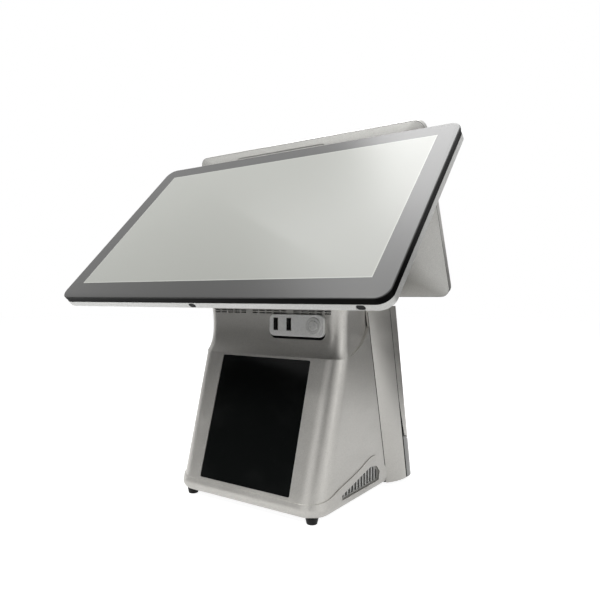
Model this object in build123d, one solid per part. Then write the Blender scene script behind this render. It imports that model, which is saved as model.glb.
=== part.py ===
from build123d import *
import os
from math import cos, radians, sin, tan

# Countertop point-of-sale terminal: a leaning pedestal that carries a tilting
# touch display in front and a smaller customer display behind it.
# Millimetres.  X right, Y back, Z up.  Origin on the desk, mid-width and mid-depth.

# ---------------------------------------------------------------- driving sizes
# overall
overall_depth = 278.0                   # the main display's lower edge to the base's back
foot_height = 6.3
foot_side = 76.3                        # foot centres from the middle
foot_top_radius = 6.5
foot_low_radius = 5.0
foot_stem_radius = 2.6

# main display
glass_width = 385.5
glass_height = 228.7
glass_thickness = 3.0
glass_corner = 12.0
glass_edge_round = 0.8
main_lean = 44.0                        # degrees back from upright
lip_overhang = 69.0                     # lower edge ahead of the pedestal's foot
lip_above_top = 8.3                     # lower edge above the pedestal's top
band_depth = 4.0                        # black gloss band behind the glass
rim_depth = 6.0                         # silver rim behind the band
rim_wall = 8.5
rim_inner_corner = 4.0
band_inset = 0.25                       # the band stands back from the glass and the rim
back_edge_depth = 2.0                   # straight edge of the back cover
back_bulge = 17.0                       # from that edge to its flat
back_inset = 50.0                       # flat's inset from the outline
back_wall = 2.5
lcd_border = 17.0
lcd_thickness = 6.0
lcd_film = 0.2                          # bonding film under a cover glass
lcd_corner = 2.0
tray_thickness = 1.2
tray_corner = 3.0
tray_hole_radius = 11.0
tray_hole_spacing_x = 120.0
tray_hole_spacing_u = 88.0
touch_board_width = 80.0
touch_board_height = 50.0
touch_board_offset = 60.0
board_thickness = 1.6
plug_spacing = 170.7
plug_middle = 82.5
plug_width = 7.8
plug_height = 4.8
plug_depth = 5.0
plug_sunk = 0.3

# customer display
rear_width = 300.0
rear_height = 191.5
rear_corner = 11.0
rear_lean = 24.4
rear_lip_above_top = 13.7
displays_gap = 2.3                      # between the two cases at the main display's top
rear_glass_thickness = 2.0
rear_glass_inset = 1.2
rear_rebate_inset = 1.0                 # step in the bezel that the glass lies in
rear_bezel_wall = 8.0
rear_bezel_depth = 6.0
rear_case_depth = 12.0
rear_case_inset = 56.0
rear_wall = 2.2
rear_lcd_border = 14.0
rear_lcd_thickness = 4.5
rear_plate_thickness = 1.0
rear_plate_border = 9.0
rear_board_width = 90.0
rear_board_height = 60.0
rear_board_thickness = 2.0
rear_board_offset = 40.0
lid_left = -91.0
lid_right = 39.0
lid_drop = 46.0
lid_depth = 9.0
lid_corner = 6.0
lid_gap = 0.5
lid_seat_width = 4.0                    # ledge round the lid's opening
lid_seat_lap = 0.6                      # how far the ledge reaches into the case's wall

# pedestal
top_height = 202.0
front_lean = 16.2
half_width = 90.6
low_corner = 23.0
ridge_corner = 15.0
ridge_below_top = 51.2
ridge_end_below_top = 6.2               # where the ridge meets the side seam
ridge_run = 63.0
skirt_proud = 0.9
skirt_height = 20.0
underside_round = 8.0
shell_wall = 2.8
flange_height = 5.0
neck_half_width = 87.2
neck_set_back = 7.1
neck_corner = 14.0
neck_flare = 1.6
neck_lead_side = 1.7                    # how far the neck has gone in just above the ridge
neck_lead_front = 3.2
top_wall = 3.0

# seam and gap lines of the pedestal: distance from the base's back, at the underside and at the top
seam_low_from_back = 63.2
seam_top_from_back = 112.6
gap_low_from_back = 33.0
gap_top_from_back = 70.0
rear_top_from_back = 38.0
hip_low = 100.4                         # half-width where the rear shell swells
hip_top = 95.6
rear_low_corner = 26.0
rear_top_corner = 20.0
panel_gap = 0.6
cover_gap = 1.6
cover_split_height = 54.0
cover_split_fall = 0.36
slot_top_height = 98.0
slot_mouth = 5.0
slot_cut = 6.0
outlet_width = 64.0
outlet_height = 13.0
rear_vent_width = 34.0
rear_vent_height = 3.2
rear_vent_pitch_x = 44.0
rear_vent_pitch_z = 9.0
rear_vent_below_top = 37.0              # uppermost slot
rear_vent_rows = 6
floor_slot_length = 28.0
floor_slot_width = 3.0
floor_slot_pitch_x = 38.0
floor_slot_pitch_y = 11.0
floor_slot_front = 50.0                 # first slot behind the front face
floor_slot_rows = 5
foot_from_front = 15.0
foot_from_back = 22.0

# front window
window_width = 113.8
window_below_ridge = 2.6                # along the slope
window_thickness = 3.0
window_sunk = 0.8
window_corner = 1.5
window_low = 17.6                       # up the slope from the underside
pocket_wall = 2.0

# port plate on the neck
plate_width = 67.0
plate_height = 22.5
plate_corner = 6.0
plate_middle_x = 35.5
plate_below_top = 19.5
plate_proud = 3.0
plate_depth = 10.0
plate_shadow = 2.6                      # open gap under the plate
plate_flange = 3.5
flange_thickness = 1.6
usb_middles_x = (10.6, 27.2)
usb_width = 5.7
usb_height = 13.1
usb_wall = 0.35
usb_depth = 14.0
usb_above_middle = 1.0
usb_proud = 0.2
tongue_thickness = 1.8
tongue_height = 11.1
tongue_offset = 0.9
tongue_sunk = 0.6
socket_block = 2.0
button_x = 57.0
ring_radius = 8.75
ring_proud = 0.9
ring_seat = 2.0
ring_chamfer = 0.5
button_radius = 5.2
button_round = 0.7
button_proud = 1.4
button_length = 4.0                     # behind the plate's face
button_clearance = 0.3
button_travel = 1.5
button_collar = 1.0
collar_thickness = 1.6
mark_outer_radius = 3.1
mark_inner_radius = 2.3
mark_depth = 0.4
switch_size = 6.0
switch_depth = 5.0
switch_tip_radius = 1.75
press_gap = 0.1

# vents
vent_slot_length = 7.4
vent_slot_height = 1.3
vent_pitch_x = 9.4
vent_pitch_z = 2.5
vent_group_pitch = 53.5
vent_rows = 2
vent_columns = 5
vent_below_top = 6.0
vent_group_count = 3
skirt_arch_lead = 7.0                   # the skirt starts to rise ahead of the side vent
skirt_arch_crown = 12.0                 # its crown ahead of the vent's back
skirt_arch_tail = 5.0                   # and its fall behind it
side_vent_pitch = 6.4
side_vent_slot = 3.6
side_vent_sunk = 1.4
side_vent_thickness = 2.0
side_vent_border = 1.4
side_vent_from_front = 45.0
side_vent_from_seam = 20.4
side_vent_above_foot = 9.3
side_vent_front_height = 5.0
side_vent_height = 19.0
side_vent_corner = 1.8

# inside the pedestal
chassis_x = 62.0
chassis_thickness = 2.0
chassis_flange = 14.0
chassis_corner = 3.0
chassis_low_from_front = 36.0
chassis_top_behind_neck = 21.0
chassis_top_ahead_of_back = 39.0
chassis_foot_short = 20.0               # how much shorter the foot flange is than the web
chassis_head_short = 12.0
chassis_hole_radius = 12.0
chassis_hole_pitch = 36.0
board_above_floor = 9.0
board_width = 112.0
board_from_front = 28.0
board_from_back = 47.0
post_radius = 3.0
post_inset = 11.0
socket_depth = 16.0
socket_overhang = 6.0
sink_width = 70.0
sink_behind_board_front = 16.0
sink_base = 4.0
sink_fin_height = 20.0
sink_fin_thickness = 1.6
sink_fin_count = 10
drive_width = 70.0
drive_depth = 44.0
drive_height = 7.0
inner_gap = 2.0
speaker_radius = 18.0
cone_radius = 15.0
speaker_depth = 9.0
cone_depth = 3.0
speaker_above_floor = 25.0
rear_socket_sizes = [                   # middle, width and height of each
    (-42.0, 9.0, 11.0),
    (-22.0, 16.0, 13.5),
    (0.0, 14.0, 15.5),
    (20.0, 16.0, 13.5),
    (42.0, 15.0, 8.0),
]

# hinges
pivot_x = 50.0                          # inner face of the stand brackets
plate_thickness = 3.0
washer_thickness = 0.5
washer_rim = 2.8
main_pivot_behind_lip = 132.0
main_pivot_above_lip = 30.0
main_shaft_radius = 5.0
main_lobe = 11.0
rear_pivot_ahead_of_lip = 36.2
rear_pivot_above_lip = 4.6
rear_shaft_radius = 3.5
rear_lobe = 8.0
running_gap = 0.05
seat_gap = 0.01                         # shafts fixed in the brackets
shaft_head = 2.5
nut_thickness = 3.0
bracket_foot_width = 18.0
arm_foot_width = 20.0
arm_half_length = 40.0
arm_screw_pitch = 60.0
rear_arm_low = 58.0
rear_arm_high = 94.0
rear_arm_screws_v = (66.0, 86.0)
rear_arm_spread = 14.0

fit_gap = 0.3
socket_fit = 0.1
screw_fit = 0.05
screw_play = 0.2                        # in the arms' holes
small_round = 0.8                       # usual edge round of small mouldings
cut_margin = 1.0                        # how far a cut runs past what it cuts
cavity_overrun = 5.0
screw_radius = 1.9
screw_head_radius = 3.6
screw_head_height = 2.0
screw_head_chamfer = 0.7
screw_length = 7.0
rear_screw_length = 5.0

# ---------------------------------------------------------------- places that follow
lip_y = -overall_depth / 2
lip_height = top_height + lip_above_top
base_back_y = overall_depth / 2
front_low_y = lip_y + lip_overhang      # front face where it would meet the underside
ridge_height = top_height - ridge_below_top
ridge_rise = ridge_below_top - ridge_end_below_top
seam_low_y = base_back_y - seam_low_from_back
seam_top_y = base_back_y - seam_top_from_back
gap_low_y = base_back_y - gap_low_from_back
gap_top_y = base_back_y - gap_top_from_back
rear_top_y = base_back_y - rear_top_from_back
main_pivot_y = lip_y + main_pivot_behind_lip
main_pivot_z = lip_height + main_pivot_above_lip
floor_height = foot_height + shell_wall
board_height = floor_height + board_above_floor
board_front_y = front_low_y + board_from_front
board_back_y = base_back_y - board_from_back
socket_front_y = board_back_y + socket_overhang - socket_depth
drive_back_y = socket_front_y - inner_gap
drive_front_y = drive_back_y - drive_depth
side_vent_front_y = front_low_y + side_vent_from_front
side_vent_back_y = seam_low_y - side_vent_from_seam
side_vent_low = foot_height + side_vent_above_foot
plate_middle_z = top_height - plate_below_top
arm_x = pivot_x - washer_thickness
# cushion-shaped cases: share of the inset against share of the depth
pillow_stations = [(0.0, 0.0), (0.12, 0.22), (0.45, 0.66), (1.0, 1.0)]
pillow_corner_growth = 0.28


def front_y_at(z):
    """Leaning front face at a height."""
    return front_low_y + (z - foot_height) * tan(radians(front_lean))


def customer_thickness(from_edge):
    """Thickness of the customer display at a distance in from its outline."""
    share = min(max(from_edge / rear_case_inset, 0.0), 1.0)
    for (share_0, drop_0), (share_1, drop_1) in zip(pillow_stations, pillow_stations[1:]):
        if share <= share_1:
            drop = drop_0 + (drop_1 - drop_0) * (share - share_0) / (share_1 - share_0)
            break
    return rear_glass_thickness + rear_bezel_depth + drop * rear_case_depth


def customer_lip_y():
    """Depth at which the customer display just clears the main display's upper back edge."""
    main_depth = glass_thickness + band_depth + rim_depth + back_edge_depth
    lean, rear = radians(main_lean), radians(rear_lean)
    edge_y = lip_y + glass_height * sin(lean) + main_depth * cos(lean)
    edge_z = lip_height + glass_height * cos(lean) - main_depth * sin(lean)
    climb = edge_z - rear_lip_height
    full = rear_glass_thickness + rear_bezel_depth + rear_case_depth
    from_edge = rear_height - climb / cos(rear) - full * tan(rear)
    return edge_y + (climb * sin(rear) + customer_thickness(from_edge) + displays_gap) / cos(rear)


neck_front_y = front_y_at(ridge_height) + neck_set_back
window_height = (ridge_height - foot_height) / cos(radians(front_lean)) - window_low - window_below_ridge
rear_lip_height = top_height + rear_lip_above_top
rear_lip_y = customer_lip_y()
rear_pivot_y = rear_lip_y - rear_pivot_ahead_of_lip
rear_pivot_z = rear_lip_height + rear_pivot_above_lip

# ---------------------------------------------------------------- frames
main_face = Plane(
    origin=(0, lip_y, lip_height),
    x_dir=(1, 0, 0),
    z_dir=(0, -cos(radians(main_lean)), sin(radians(main_lean))),
)
rear_face = Plane(
    origin=(0, rear_lip_y, rear_lip_height),
    x_dir=(-1, 0, 0),
    z_dir=(0, cos(radians(rear_lean)), sin(radians(rear_lean))),
)
front_face = Plane(
    origin=(0, front_low_y, foot_height),
    x_dir=(1, 0, 0),
    z_dir=(0, -cos(radians(front_lean)), sin(radians(front_lean))),
)


def at_height(z, low, high):
    """Value of a size that runs straight from the underside to the pedestal's top."""
    return low + (high - low) * (z - foot_height) / (top_height - foot_height)


def slab(width, height, corner, low, high, middle_y=0.0):
    """Rounded plate between two levels of the current frame."""
    outline = Pos(0, middle_y, low) * RectangleRounded(width, height, corner)
    return extrude(outline, high - low)


def lying_rod(radius, x_from, x_to, y, z):
    """Round bar along X."""
    face = Plane(origin=(x_from, y, z), x_dir=(0, 1, 0), z_dir=(1, 0, 0)) * Circle(radius)
    return extrude(face, x_to - x_from)


def outward(x, y_front, z):
    """Plane that faces forward at a depth."""
    return Plane(origin=(x, y_front, z), x_dir=(1, 0, 0), z_dir=(0, -1, 0))


def inward_bar(face, x, z, y_front, y_back):
    """Extrude an outline from a front depth straight back."""
    return extrude(outward(x, y_back, z) * face, y_back - y_front)


def mirrored_pair(left_or_right):
    """A solid and its mirror image across the terminal's middle."""
    return [left_or_right, mirror(left_or_right, about=Plane.YZ)]


# ---------------------------------------------------------------- pedestal outlines
def front_section(z, side, front_y, corner, rear_y):
    """Plan outline with two round front corners."""
    face = Pos(0, (front_y + rear_y) / 2, z) * Rectangle(2 * side, rear_y - front_y)
    front_corners = face.vertices().group_by(Axis.Y)[0]
    return fillet(front_corners, corner)


def rear_section(z, inset=0.0, lead=0.0):
    """Plan outline behind the seam: swelling sides, round corners and a flat back."""
    seam_y = at_height(z, seam_low_y, seam_top_y) - lead
    hip_y = at_height(z, gap_low_y, gap_top_y)
    hip = at_height(z, hip_low, hip_top) - inset
    seam_half = half_width - inset
    back_y = at_height(z, base_back_y, rear_top_y) - inset
    corner = at_height(z, rear_low_corner, rear_top_corner) - inset
    swell = TangentArc((hip, hip_y), (seam_half, seam_y), tangent=(0, -1))
    side = Line((hip, hip_y), (hip, back_y - corner))
    turn = TangentArc((hip, back_y - corner), (hip - corner, back_y), tangent=(0, 1))
    back = Line((hip - corner, back_y), (0, back_y))
    middle = Line((0, back_y), (0, seam_y))
    front = Line((0, seam_y), (seam_half, seam_y))
    half = make_face([swell, side, turn, back, middle, front])
    return Pos(0, 0, z) * (half + mirror(half, about=Plane.YZ))


def beyond(line_low_y, line_top_y, clearance=0.0):
    """Block behind a leaning line that is given at the underside and at the top."""
    reach = 2 * overall_depth
    rise = top_height - foot_height
    slope = (line_top_y - line_low_y) / rise
    low, high = foot_height - rise, top_height + rise
    outline = Polyline(
        (line_low_y - slope * rise + clearance, low),
        (line_top_y + slope * rise + clearance, high),
        (reach, high),
        (reach, low),
        close=True,
    )
    return extrude(Plane.YZ * make_face(outline), overall_depth, both=True)


behind_seam = beyond(seam_low_y, seam_top_y)
behind_gap = beyond(gap_low_y, gap_top_y)


# ---------------------------------------------------------------- front shell
def ridge_trim():
    """Everything above the ridge line: level across the front, then a rising quarter ellipse."""
    ridge_start_y = front_y_at(ridge_height)
    ridge_end_y = ridge_start_y + ridge_run
    far = overall_depth
    level = Line((-far, ridge_height), (ridge_start_y, ridge_height))
    rise = EllipticalCenterArc(
        (ridge_start_y, ridge_height + ridge_rise),
        ridge_run,
        ridge_rise,
        start_angle=-90,
        arc_size=90,
    )
    up = Line((ridge_end_y, ridge_height + ridge_rise), (ridge_end_y, far))
    over = Line((ridge_end_y, far), (-far, far))
    down = Line((-far, far), (-far, ridge_height))
    outline = make_face([level, rise, up, over, down])
    return extrude(Plane.YZ * outline, overall_depth, both=True)


def neck():
    """Concave neck above the ridge, flaring out to meet it and again at the top."""
    ridge_y = front_y_at(ridge_height)
    stations = [
        (0.0, half_width, ridge_y, ridge_corner),
        (0.12, half_width - neck_lead_side, ridge_y + neck_lead_front, ridge_corner),
        (0.45, neck_half_width, neck_front_y, neck_corner),
        (0.70, neck_half_width, neck_front_y, neck_corner),
        (1.0, neck_half_width + neck_flare, neck_front_y - neck_flare / 2, neck_corner),
    ]
    sections = [
        front_section(ridge_height + share * ridge_below_top, side, front_y, corner, gap_low_y)
        for share, side, front_y, corner in stations
    ]
    return loft(sections)


def skirt_band():
    """Low band of the shell: level in front, arching up over the side vent."""
    start = (front_low_y, skirt_height)
    end = (side_vent_back_y + 0.7 * side_vent_from_seam, skirt_height + 0.3 * side_vent_height)
    arch = Spline(
        start,
        (side_vent_front_y - skirt_arch_lead, skirt_height + 0.38 * side_vent_height),
        (side_vent_back_y - 2 * side_vent_height, skirt_height + 0.97 * side_vent_height),
        (side_vent_back_y - skirt_arch_crown, skirt_height + 1.25 * side_vent_height),
        (side_vent_back_y + skirt_arch_tail, skirt_height + 0.84 * side_vent_height),
        end,
        tangents=[(1, 0.02), (1, -1.1)],
    )
    around = Polyline(
        end,
        (overall_depth, end[1]),
        (overall_depth, -foot_height),
        (-overall_depth, -foot_height),
        (-overall_depth, skirt_height),
        start,
    )
    return extrude(Plane.YZ * make_face([arch, around]), overall_depth, both=True)


def pedestal_front(proud):
    """Leaning front body up to the full height, with a round lower edge."""
    body = loft(
        [
            front_section(
                z,
                half_width + proud,
                front_y_at(z) - proud,
                at_height(z, low_corner, ridge_corner),
                gap_low_y,
            )
            for z in (foot_height, top_height)
        ],
        ruled=True,
    )
    low_edges = body.edges().group_by(Axis.Z)[0]
    low_edges = [edge for edge in low_edges if edge.center().Y < gap_low_y - cut_margin]
    return fillet(low_edges, underside_round)


def front_cavity():
    """Space inside the front shell, with a flange left round the underside."""
    side = half_width - shell_wall
    split = ridge_height - shell_wall
    low = foot_height + flange_height
    lower = loft(
        [
            front_section(
                z,
                side,
                front_y_at(z) + shell_wall,
                at_height(z, low_corner, ridge_corner) - shell_wall,
                gap_low_y + cavity_overrun,
            )
            for z in (low, split)
        ],
        ruled=True,
    )
    upper_face = front_section(
        split, neck_half_width - shell_wall, neck_front_y + shell_wall,
        neck_corner - shell_wall, gap_low_y + cavity_overrun,
    )
    upper = extrude(upper_face, top_height - top_wall - split)
    return lower + upper + extrude(underside_opening(0.0), flange_height + cut_margin)


def underside_opening(clearance):
    """Plan outline of the opening that the base plate closes."""
    side = half_width - underside_round - clearance
    front_y = front_low_y + underside_round + clearance
    corner = low_corner - underside_round
    ahead = front_section(foot_height, side, front_y, corner, seam_low_y + cut_margin)
    behind = rear_section(foot_height + shell_wall, shell_wall + clearance, lead=-2 * fit_gap)
    behind = Pos(0, 0, -shell_wall) * behind
    return ahead + behind


def window_recess(extra, depth, back):
    """Block on the leaning front face, from its surface inwards."""
    middle = window_low + window_height / 2
    outline = Pos(0, middle, -depth) * RectangleRounded(
        window_width + 2 * extra, window_height + 2 * extra, window_corner + extra
    )
    return front_face.location * extrude(outline, depth + back)


def vent_slots():
    """Three groups of short slots under the pedestal's top edge."""
    slots = []
    for group in range(vent_group_count):
        group_x = (group - (vent_group_count - 1) / 2) * vent_group_pitch
        for column in range(vent_columns):
            for row in range(vent_rows):
                x = group_x + (column - (vent_columns - 1) / 2) * vent_pitch_x
                z = top_height - vent_below_top + (row - (vent_rows - 1) / 2) * vent_pitch_z
                slot = Box(vent_slot_length, 5 * shell_wall, vent_slot_height)
                slots.append(Pos(x, neck_front_y, z) * slot)
    return slots


def side_vent_outline(margin):
    """Rounded triangle of the side vent, in the YZ plane."""
    front, back = side_vent_front_y, side_vent_back_y
    low, high = side_vent_low, side_vent_low + side_vent_height
    face = make_face(
        Polyline(
            (front, low),
            (front, low + side_vent_front_height),
            (back - 0.97 * side_vent_height, high),
            (back - 0.36 * side_vent_height, low + 0.83 * side_vent_height),
            (back, low + 0.49 * side_vent_height),
            (back - 2.0, low),
            close=True,
        )
    )
    face = fillet(face.vertices(), side_vent_corner)
    return offset(face, margin) if margin else face


def side_vent_cut(sign):
    """Opening for one side vent."""
    outline = Plane.YZ.offset(sign * (half_width - 3 * shell_wall)) * side_vent_outline(0.0)
    return extrude(outline, 5 * shell_wall * sign)


def plate_outline(grow, drop=0.0):
    """Outline of the port plate, facing forward."""
    face = RectangleRounded(
        plate_width + 2 * grow, plate_height + 2 * grow + drop, plate_corner + grow / 2
    )
    frame = outward(plate_middle_x, 0, plate_middle_z - drop / 2)
    return frame * face


def base_front_shell():
    """Front half of the pedestal: leaning face, ridge, neck, skirt and openings."""
    body = pedestal_front(0.0) - ridge_trim()
    skirt = pedestal_front(skirt_proud) & skirt_band()
    shell = body + skirt + neck()
    shell -= front_cavity()
    pocket = window_recess(pocket_wall, window_sunk + window_thickness + pocket_wall, 0.0)
    shell += pocket & pedestal_front(0.0)
    shell -= window_recess(fit_gap / 2, window_sunk + window_thickness, cavity_overrun)
    opening = extrude(plate_outline(fit_gap, plate_shadow), 2 * plate_depth)
    shell -= Pos(0, neck_front_y + plate_depth, 0) * opening
    for slot in vent_slots():
        shell -= slot
    for sign in (1, -1):
        shell -= side_vent_cut(sign)
    return shell - behind_seam


def front_window():
    """Gloss black panel let into the leaning face."""
    middle = window_low + window_height / 2
    low = -window_sunk - window_thickness
    outline = Pos(0, middle, low) * RectangleRounded(window_width, window_height, window_corner)
    return front_face.location * extrude(outline, window_thickness)


def side_vent_grille(sign):
    """Slatted insert of one side vent."""
    outer_x = half_width - side_vent_sunk
    outline = Plane.YZ.offset(sign * outer_x) * side_vent_outline(-socket_fit)
    grille = extrude(outline, -sign * side_vent_thickness)
    opening = extrude(Plane.YZ * side_vent_outline(-side_vent_border), hip_low, both=True)
    count = int((side_vent_back_y - side_vent_front_y) / side_vent_pitch)
    for index in range(count):
        y = side_vent_front_y + side_vent_pitch * (index + 0.75)
        slot = Pos(0, y, side_vent_low) * Box(2 * hip_low, side_vent_slot, 3 * side_vent_height)
        grille -= slot & opening
    return grille


# ---------------------------------------------------------------- rear shell and covers
def rear_envelope(inset=0.0, lead=0.0, low=foot_height, high=top_height):
    """Everything behind the seam, as one leaning body."""
    return loft([rear_section(low, inset, lead), rear_section(high, inset, lead)], ruled=True)


def rear_cavity():
    """Space inside the rear shell and its covers, open below."""
    return rear_envelope(shell_wall, shell_wall, foot_height - shell_wall, top_height - top_wall)


def base_rear_shell():
    """Swelling band between the seam and the rear covers."""
    return rear_envelope() - rear_cavity() - behind_gap


def below_cover_split(clearance):
    """Wedge under the slanted line where the rear cover ends and the cable cover starts."""
    front, back = gap_low_y - gap_low_from_back, overall_depth
    outline = Polyline(
        (front, cover_split_height + (gap_low_y - front) * cover_split_fall + clearance),
        (back, cover_split_height - (back - gap_low_y) * cover_split_fall + clearance),
        (back, -foot_height),
        (front, -foot_height),
        close=True,
    )
    return extrude(Plane.YZ * make_face(outline), overall_depth, both=True)


def cover_slot():
    """Long tapering notch between the rear shell and the rear cover."""
    top_y = at_height(slot_top_height, gap_low_y, gap_top_y)
    low_y = at_height(cover_split_height, gap_low_y, gap_top_y)
    outline = Polyline(
        (top_y, slot_top_height),
        (low_y + slot_mouth, cover_split_height - slot_cut),
        (low_y - slot_cut, cover_split_height - slot_cut),
        close=True,
    )
    return extrude(Plane.YZ * make_face(outline), overall_depth, both=True)


def rear_vents():
    """Rows of slots in the back of the rear cover."""
    slots = []
    for column in (-1, 0, 1):
        for row in range(rear_vent_rows):
            z = top_height - rear_vent_below_top - rear_vent_pitch_z * row
            y = at_height(z, base_back_y, rear_top_y)
            slot = Box(rear_vent_width, 4 * shell_wall, rear_vent_height)
            slots.append(Pos(rear_vent_pitch_x * column, y, z) * slot)
    return slots


def rear_cover():
    """Upper cover that wraps the rear corners."""
    cover = rear_envelope() & beyond(gap_low_y, gap_top_y, panel_gap)
    cover -= rear_cavity()
    cover -= below_cover_split(0.0)
    cover -= cover_slot()
    for slot in rear_vents():
        cover -= slot
    return cover


def cable_cover():
    """Lower cover over the sockets, open at the foot for cables."""
    cover = rear_envelope() & beyond(gap_low_y, gap_top_y, cover_gap)
    cover -= rear_cavity()
    cover = cover & below_cover_split(-cover_gap)
    outlet = Pos(0, base_back_y, foot_height + outlet_height / 2) * Box(
        outlet_width, 10 * shell_wall, outlet_height
    )
    return cover - outlet


# ---------------------------------------------------------------- underside
def foot_places():
    """Centres of the four feet."""
    front = front_low_y + foot_from_front
    rear = base_back_y - foot_from_back
    return [(x, y) for x in (-foot_side, foot_side) for y in (front, rear)]


def base_plate():
    """Flat closure of the underside, with vents and holes for the feet."""
    plate = extrude(underside_opening(fit_gap), shell_wall)
    for x, y in foot_places():
        plate -= Pos(x, y, foot_height) * Cylinder(foot_stem_radius + fit_gap / 2, 4 * shell_wall)
    for column in (-1, 0, 1):
        for row in range(floor_slot_rows):
            x = floor_slot_pitch_x * column
            y = front_low_y + floor_slot_front + floor_slot_pitch_y * row
            plate -= Pos(x, y, foot_height) * Box(floor_slot_length, floor_slot_width, 4 * shell_wall)
    return plate


def rubber_feet():
    """Four tapered feet, each with a stem pushed through the base plate."""
    profile = make_face(
        Polyline(
            (0, 0),
            (foot_low_radius, 0),
            (foot_top_radius, foot_height),
            (foot_stem_radius, foot_height),
            (foot_stem_radius, floor_height + cut_margin),
            (0, floor_height + cut_margin),
            close=True,
        )
    )
    foot = revolve(Plane.XZ * profile, Axis.Z)
    foot = fillet(foot.edges().group_by(Axis.Z)[0], small_round)
    return [Pos(x, y, 0) * foot for x, y in foot_places()]


# ---------------------------------------------------------------- port plate, sockets and button
plate_front_y = neck_front_y - plate_proud
plate_back_y = plate_front_y + plate_depth
neck_inner_y = neck_front_y + shell_wall
usb_middle_z = plate_middle_z + usb_above_middle
usb_back_y = plate_front_y + usb_depth


def port_plate():
    """Silver plate that carries the sockets and the power button."""
    plate = Pos(0, plate_back_y, 0) * extrude(plate_outline(0.0), plate_depth)
    front = plate.faces().sort_by(Axis.Y)[0]
    plate = fillet(front.edges(), small_round)
    flange = extrude(plate_outline(plate_flange, plate_shadow), flange_thickness)
    plate += Pos(0, neck_inner_y + flange_thickness, -plate_flange) * flange
    ahead, behind = plate_front_y - plate_depth, plate_back_y + plate_depth
    for x in usb_middles_x:
        hole = Rectangle(usb_width + socket_fit, usb_height + socket_fit)
        plate -= inward_bar(hole, x, usb_middle_z, ahead, behind)
    collar_room = Circle(button_radius + button_collar + button_clearance)
    ring_back_y = plate_front_y + ring_seat
    plate -= inward_bar(Circle(ring_radius), button_x, plate_middle_z, ahead, ring_back_y)
    plate -= inward_bar(collar_room, button_x, plate_middle_z, plate_front_y, behind)
    return plate


def usb_shells():
    """Two upright metal socket shells."""
    outline = Rectangle(usb_width, usb_height)
    outline -= Rectangle(usb_width - 2 * usb_wall, usb_height - 2 * usb_wall)
    return [
        inward_bar(outline, x, usb_middle_z, plate_front_y - usb_proud, usb_back_y)
        for x in usb_middles_x
    ]


def usb_tongues():
    """Insulating tongue and back block inside each socket."""
    tongues = []
    for x in usb_middles_x:
        tongue = inward_bar(
            Rectangle(tongue_thickness, tongue_height), x - tongue_offset, usb_middle_z,
            plate_front_y + tongue_sunk, usb_back_y,
        )
        inside = 2 * usb_wall + socket_fit
        block = inward_bar(
            Rectangle(usb_width - inside, usb_height - inside),
            x, usb_middle_z, usb_back_y - socket_block, usb_back_y,
        )
        tongues.append(tongue + block)
    return tongues


def port_board():
    """Small circuit board behind the sockets and the switch."""
    board = Box(plate_width - 2 * inner_gap, board_thickness, plate_height - inner_gap)
    return Pos(plate_middle_x, usb_back_y + board_thickness / 2, plate_middle_z) * board


def button_ring():
    """Bright ring round the power button."""
    ring = Circle(ring_radius - fit_gap / 3) - Circle(button_radius + button_clearance)
    ring_front_y = plate_front_y - ring_proud
    body = inward_bar(ring, button_x, plate_middle_z, ring_front_y, plate_front_y + ring_seat)
    front = body.faces().sort_by(Axis.Y)[0]
    return chamfer(front.edges(), ring_chamfer)


def power_button():
    """Push cap with a collar that the ring holds in."""
    cap_front_y = plate_front_y - button_proud
    cap_back_y = plate_front_y + button_length
    cap = inward_bar(Circle(button_radius), button_x, plate_middle_z, cap_front_y, cap_back_y)
    front = cap.faces().sort_by(Axis.Y)[0]
    cap = fillet(front.edges(), button_round)
    collar = inward_bar(
        Circle(button_radius + button_collar), button_x, plate_middle_z,
        plate_front_y + ring_seat + press_gap, plate_front_y + ring_seat + press_gap + collar_thickness,
    )
    groove = Circle(mark_outer_radius) - Circle(mark_inner_radius)
    mark = inward_bar(groove, button_x, plate_middle_z, cap_front_y, cap_front_y + mark_depth)
    return cap + collar - mark


def power_switch():
    """Tact switch under the button, soldered to the port board."""
    body_front_y = usb_back_y - switch_depth
    body = inward_bar(
        Rectangle(switch_size, switch_size), button_x, plate_middle_z, body_front_y, usb_back_y
    )
    tip_front_y = plate_front_y + button_length + button_travel + press_gap
    tip = inward_bar(Circle(switch_tip_radius), button_x, plate_middle_z, tip_front_y, body_front_y)
    return body + tip


# ---------------------------------------------------------------- inside the pedestal
def chassis_side(sign):
    """Folded steel upright between the base plate and the pedestal's top."""
    low, high = floor_height, top_height - top_wall
    low_front, low_back = front_low_y + chassis_low_from_front, board_back_y
    high_front = neck_front_y + chassis_top_behind_neck
    high_back = rear_top_y - chassis_top_ahead_of_back
    web = make_face(
        Polyline((low_front, low), (low_back, low), (high_back, high), (high_front, high), close=True)
    )
    web = fillet(web.vertices(), chassis_corner)
    middle_y = (low_front + low_back) / 2
    for row in (-1, 0, 1):
        z = (low + high) / 2 + row * chassis_hole_pitch
        share = (z - low) / (high - low)
        front = low_front + (high_front - low_front) * share
        back = low_back + (high_back - low_back) * share
        count = int((back - front) / chassis_hole_pitch)
        for column in range(count):
            y = (front + back) / 2 + (column - (count - 1) / 2) * chassis_hole_pitch
            web -= Pos(y, z) * Circle(chassis_hole_radius)
    side = extrude(Plane.YZ.offset(sign * chassis_x) * web, -sign * chassis_thickness)
    flange_x = sign * (chassis_x - chassis_flange / 2)
    foot = Box(chassis_flange, low_back - low_front - chassis_foot_short, chassis_thickness)
    head = Box(chassis_flange, high_back - high_front - chassis_head_short, chassis_thickness)
    foot = Pos(flange_x, middle_y, low + chassis_thickness / 2) * foot
    head = Pos(flange_x, (high_front + high_back) / 2, high - chassis_thickness / 2) * head
    return side + foot + head


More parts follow.
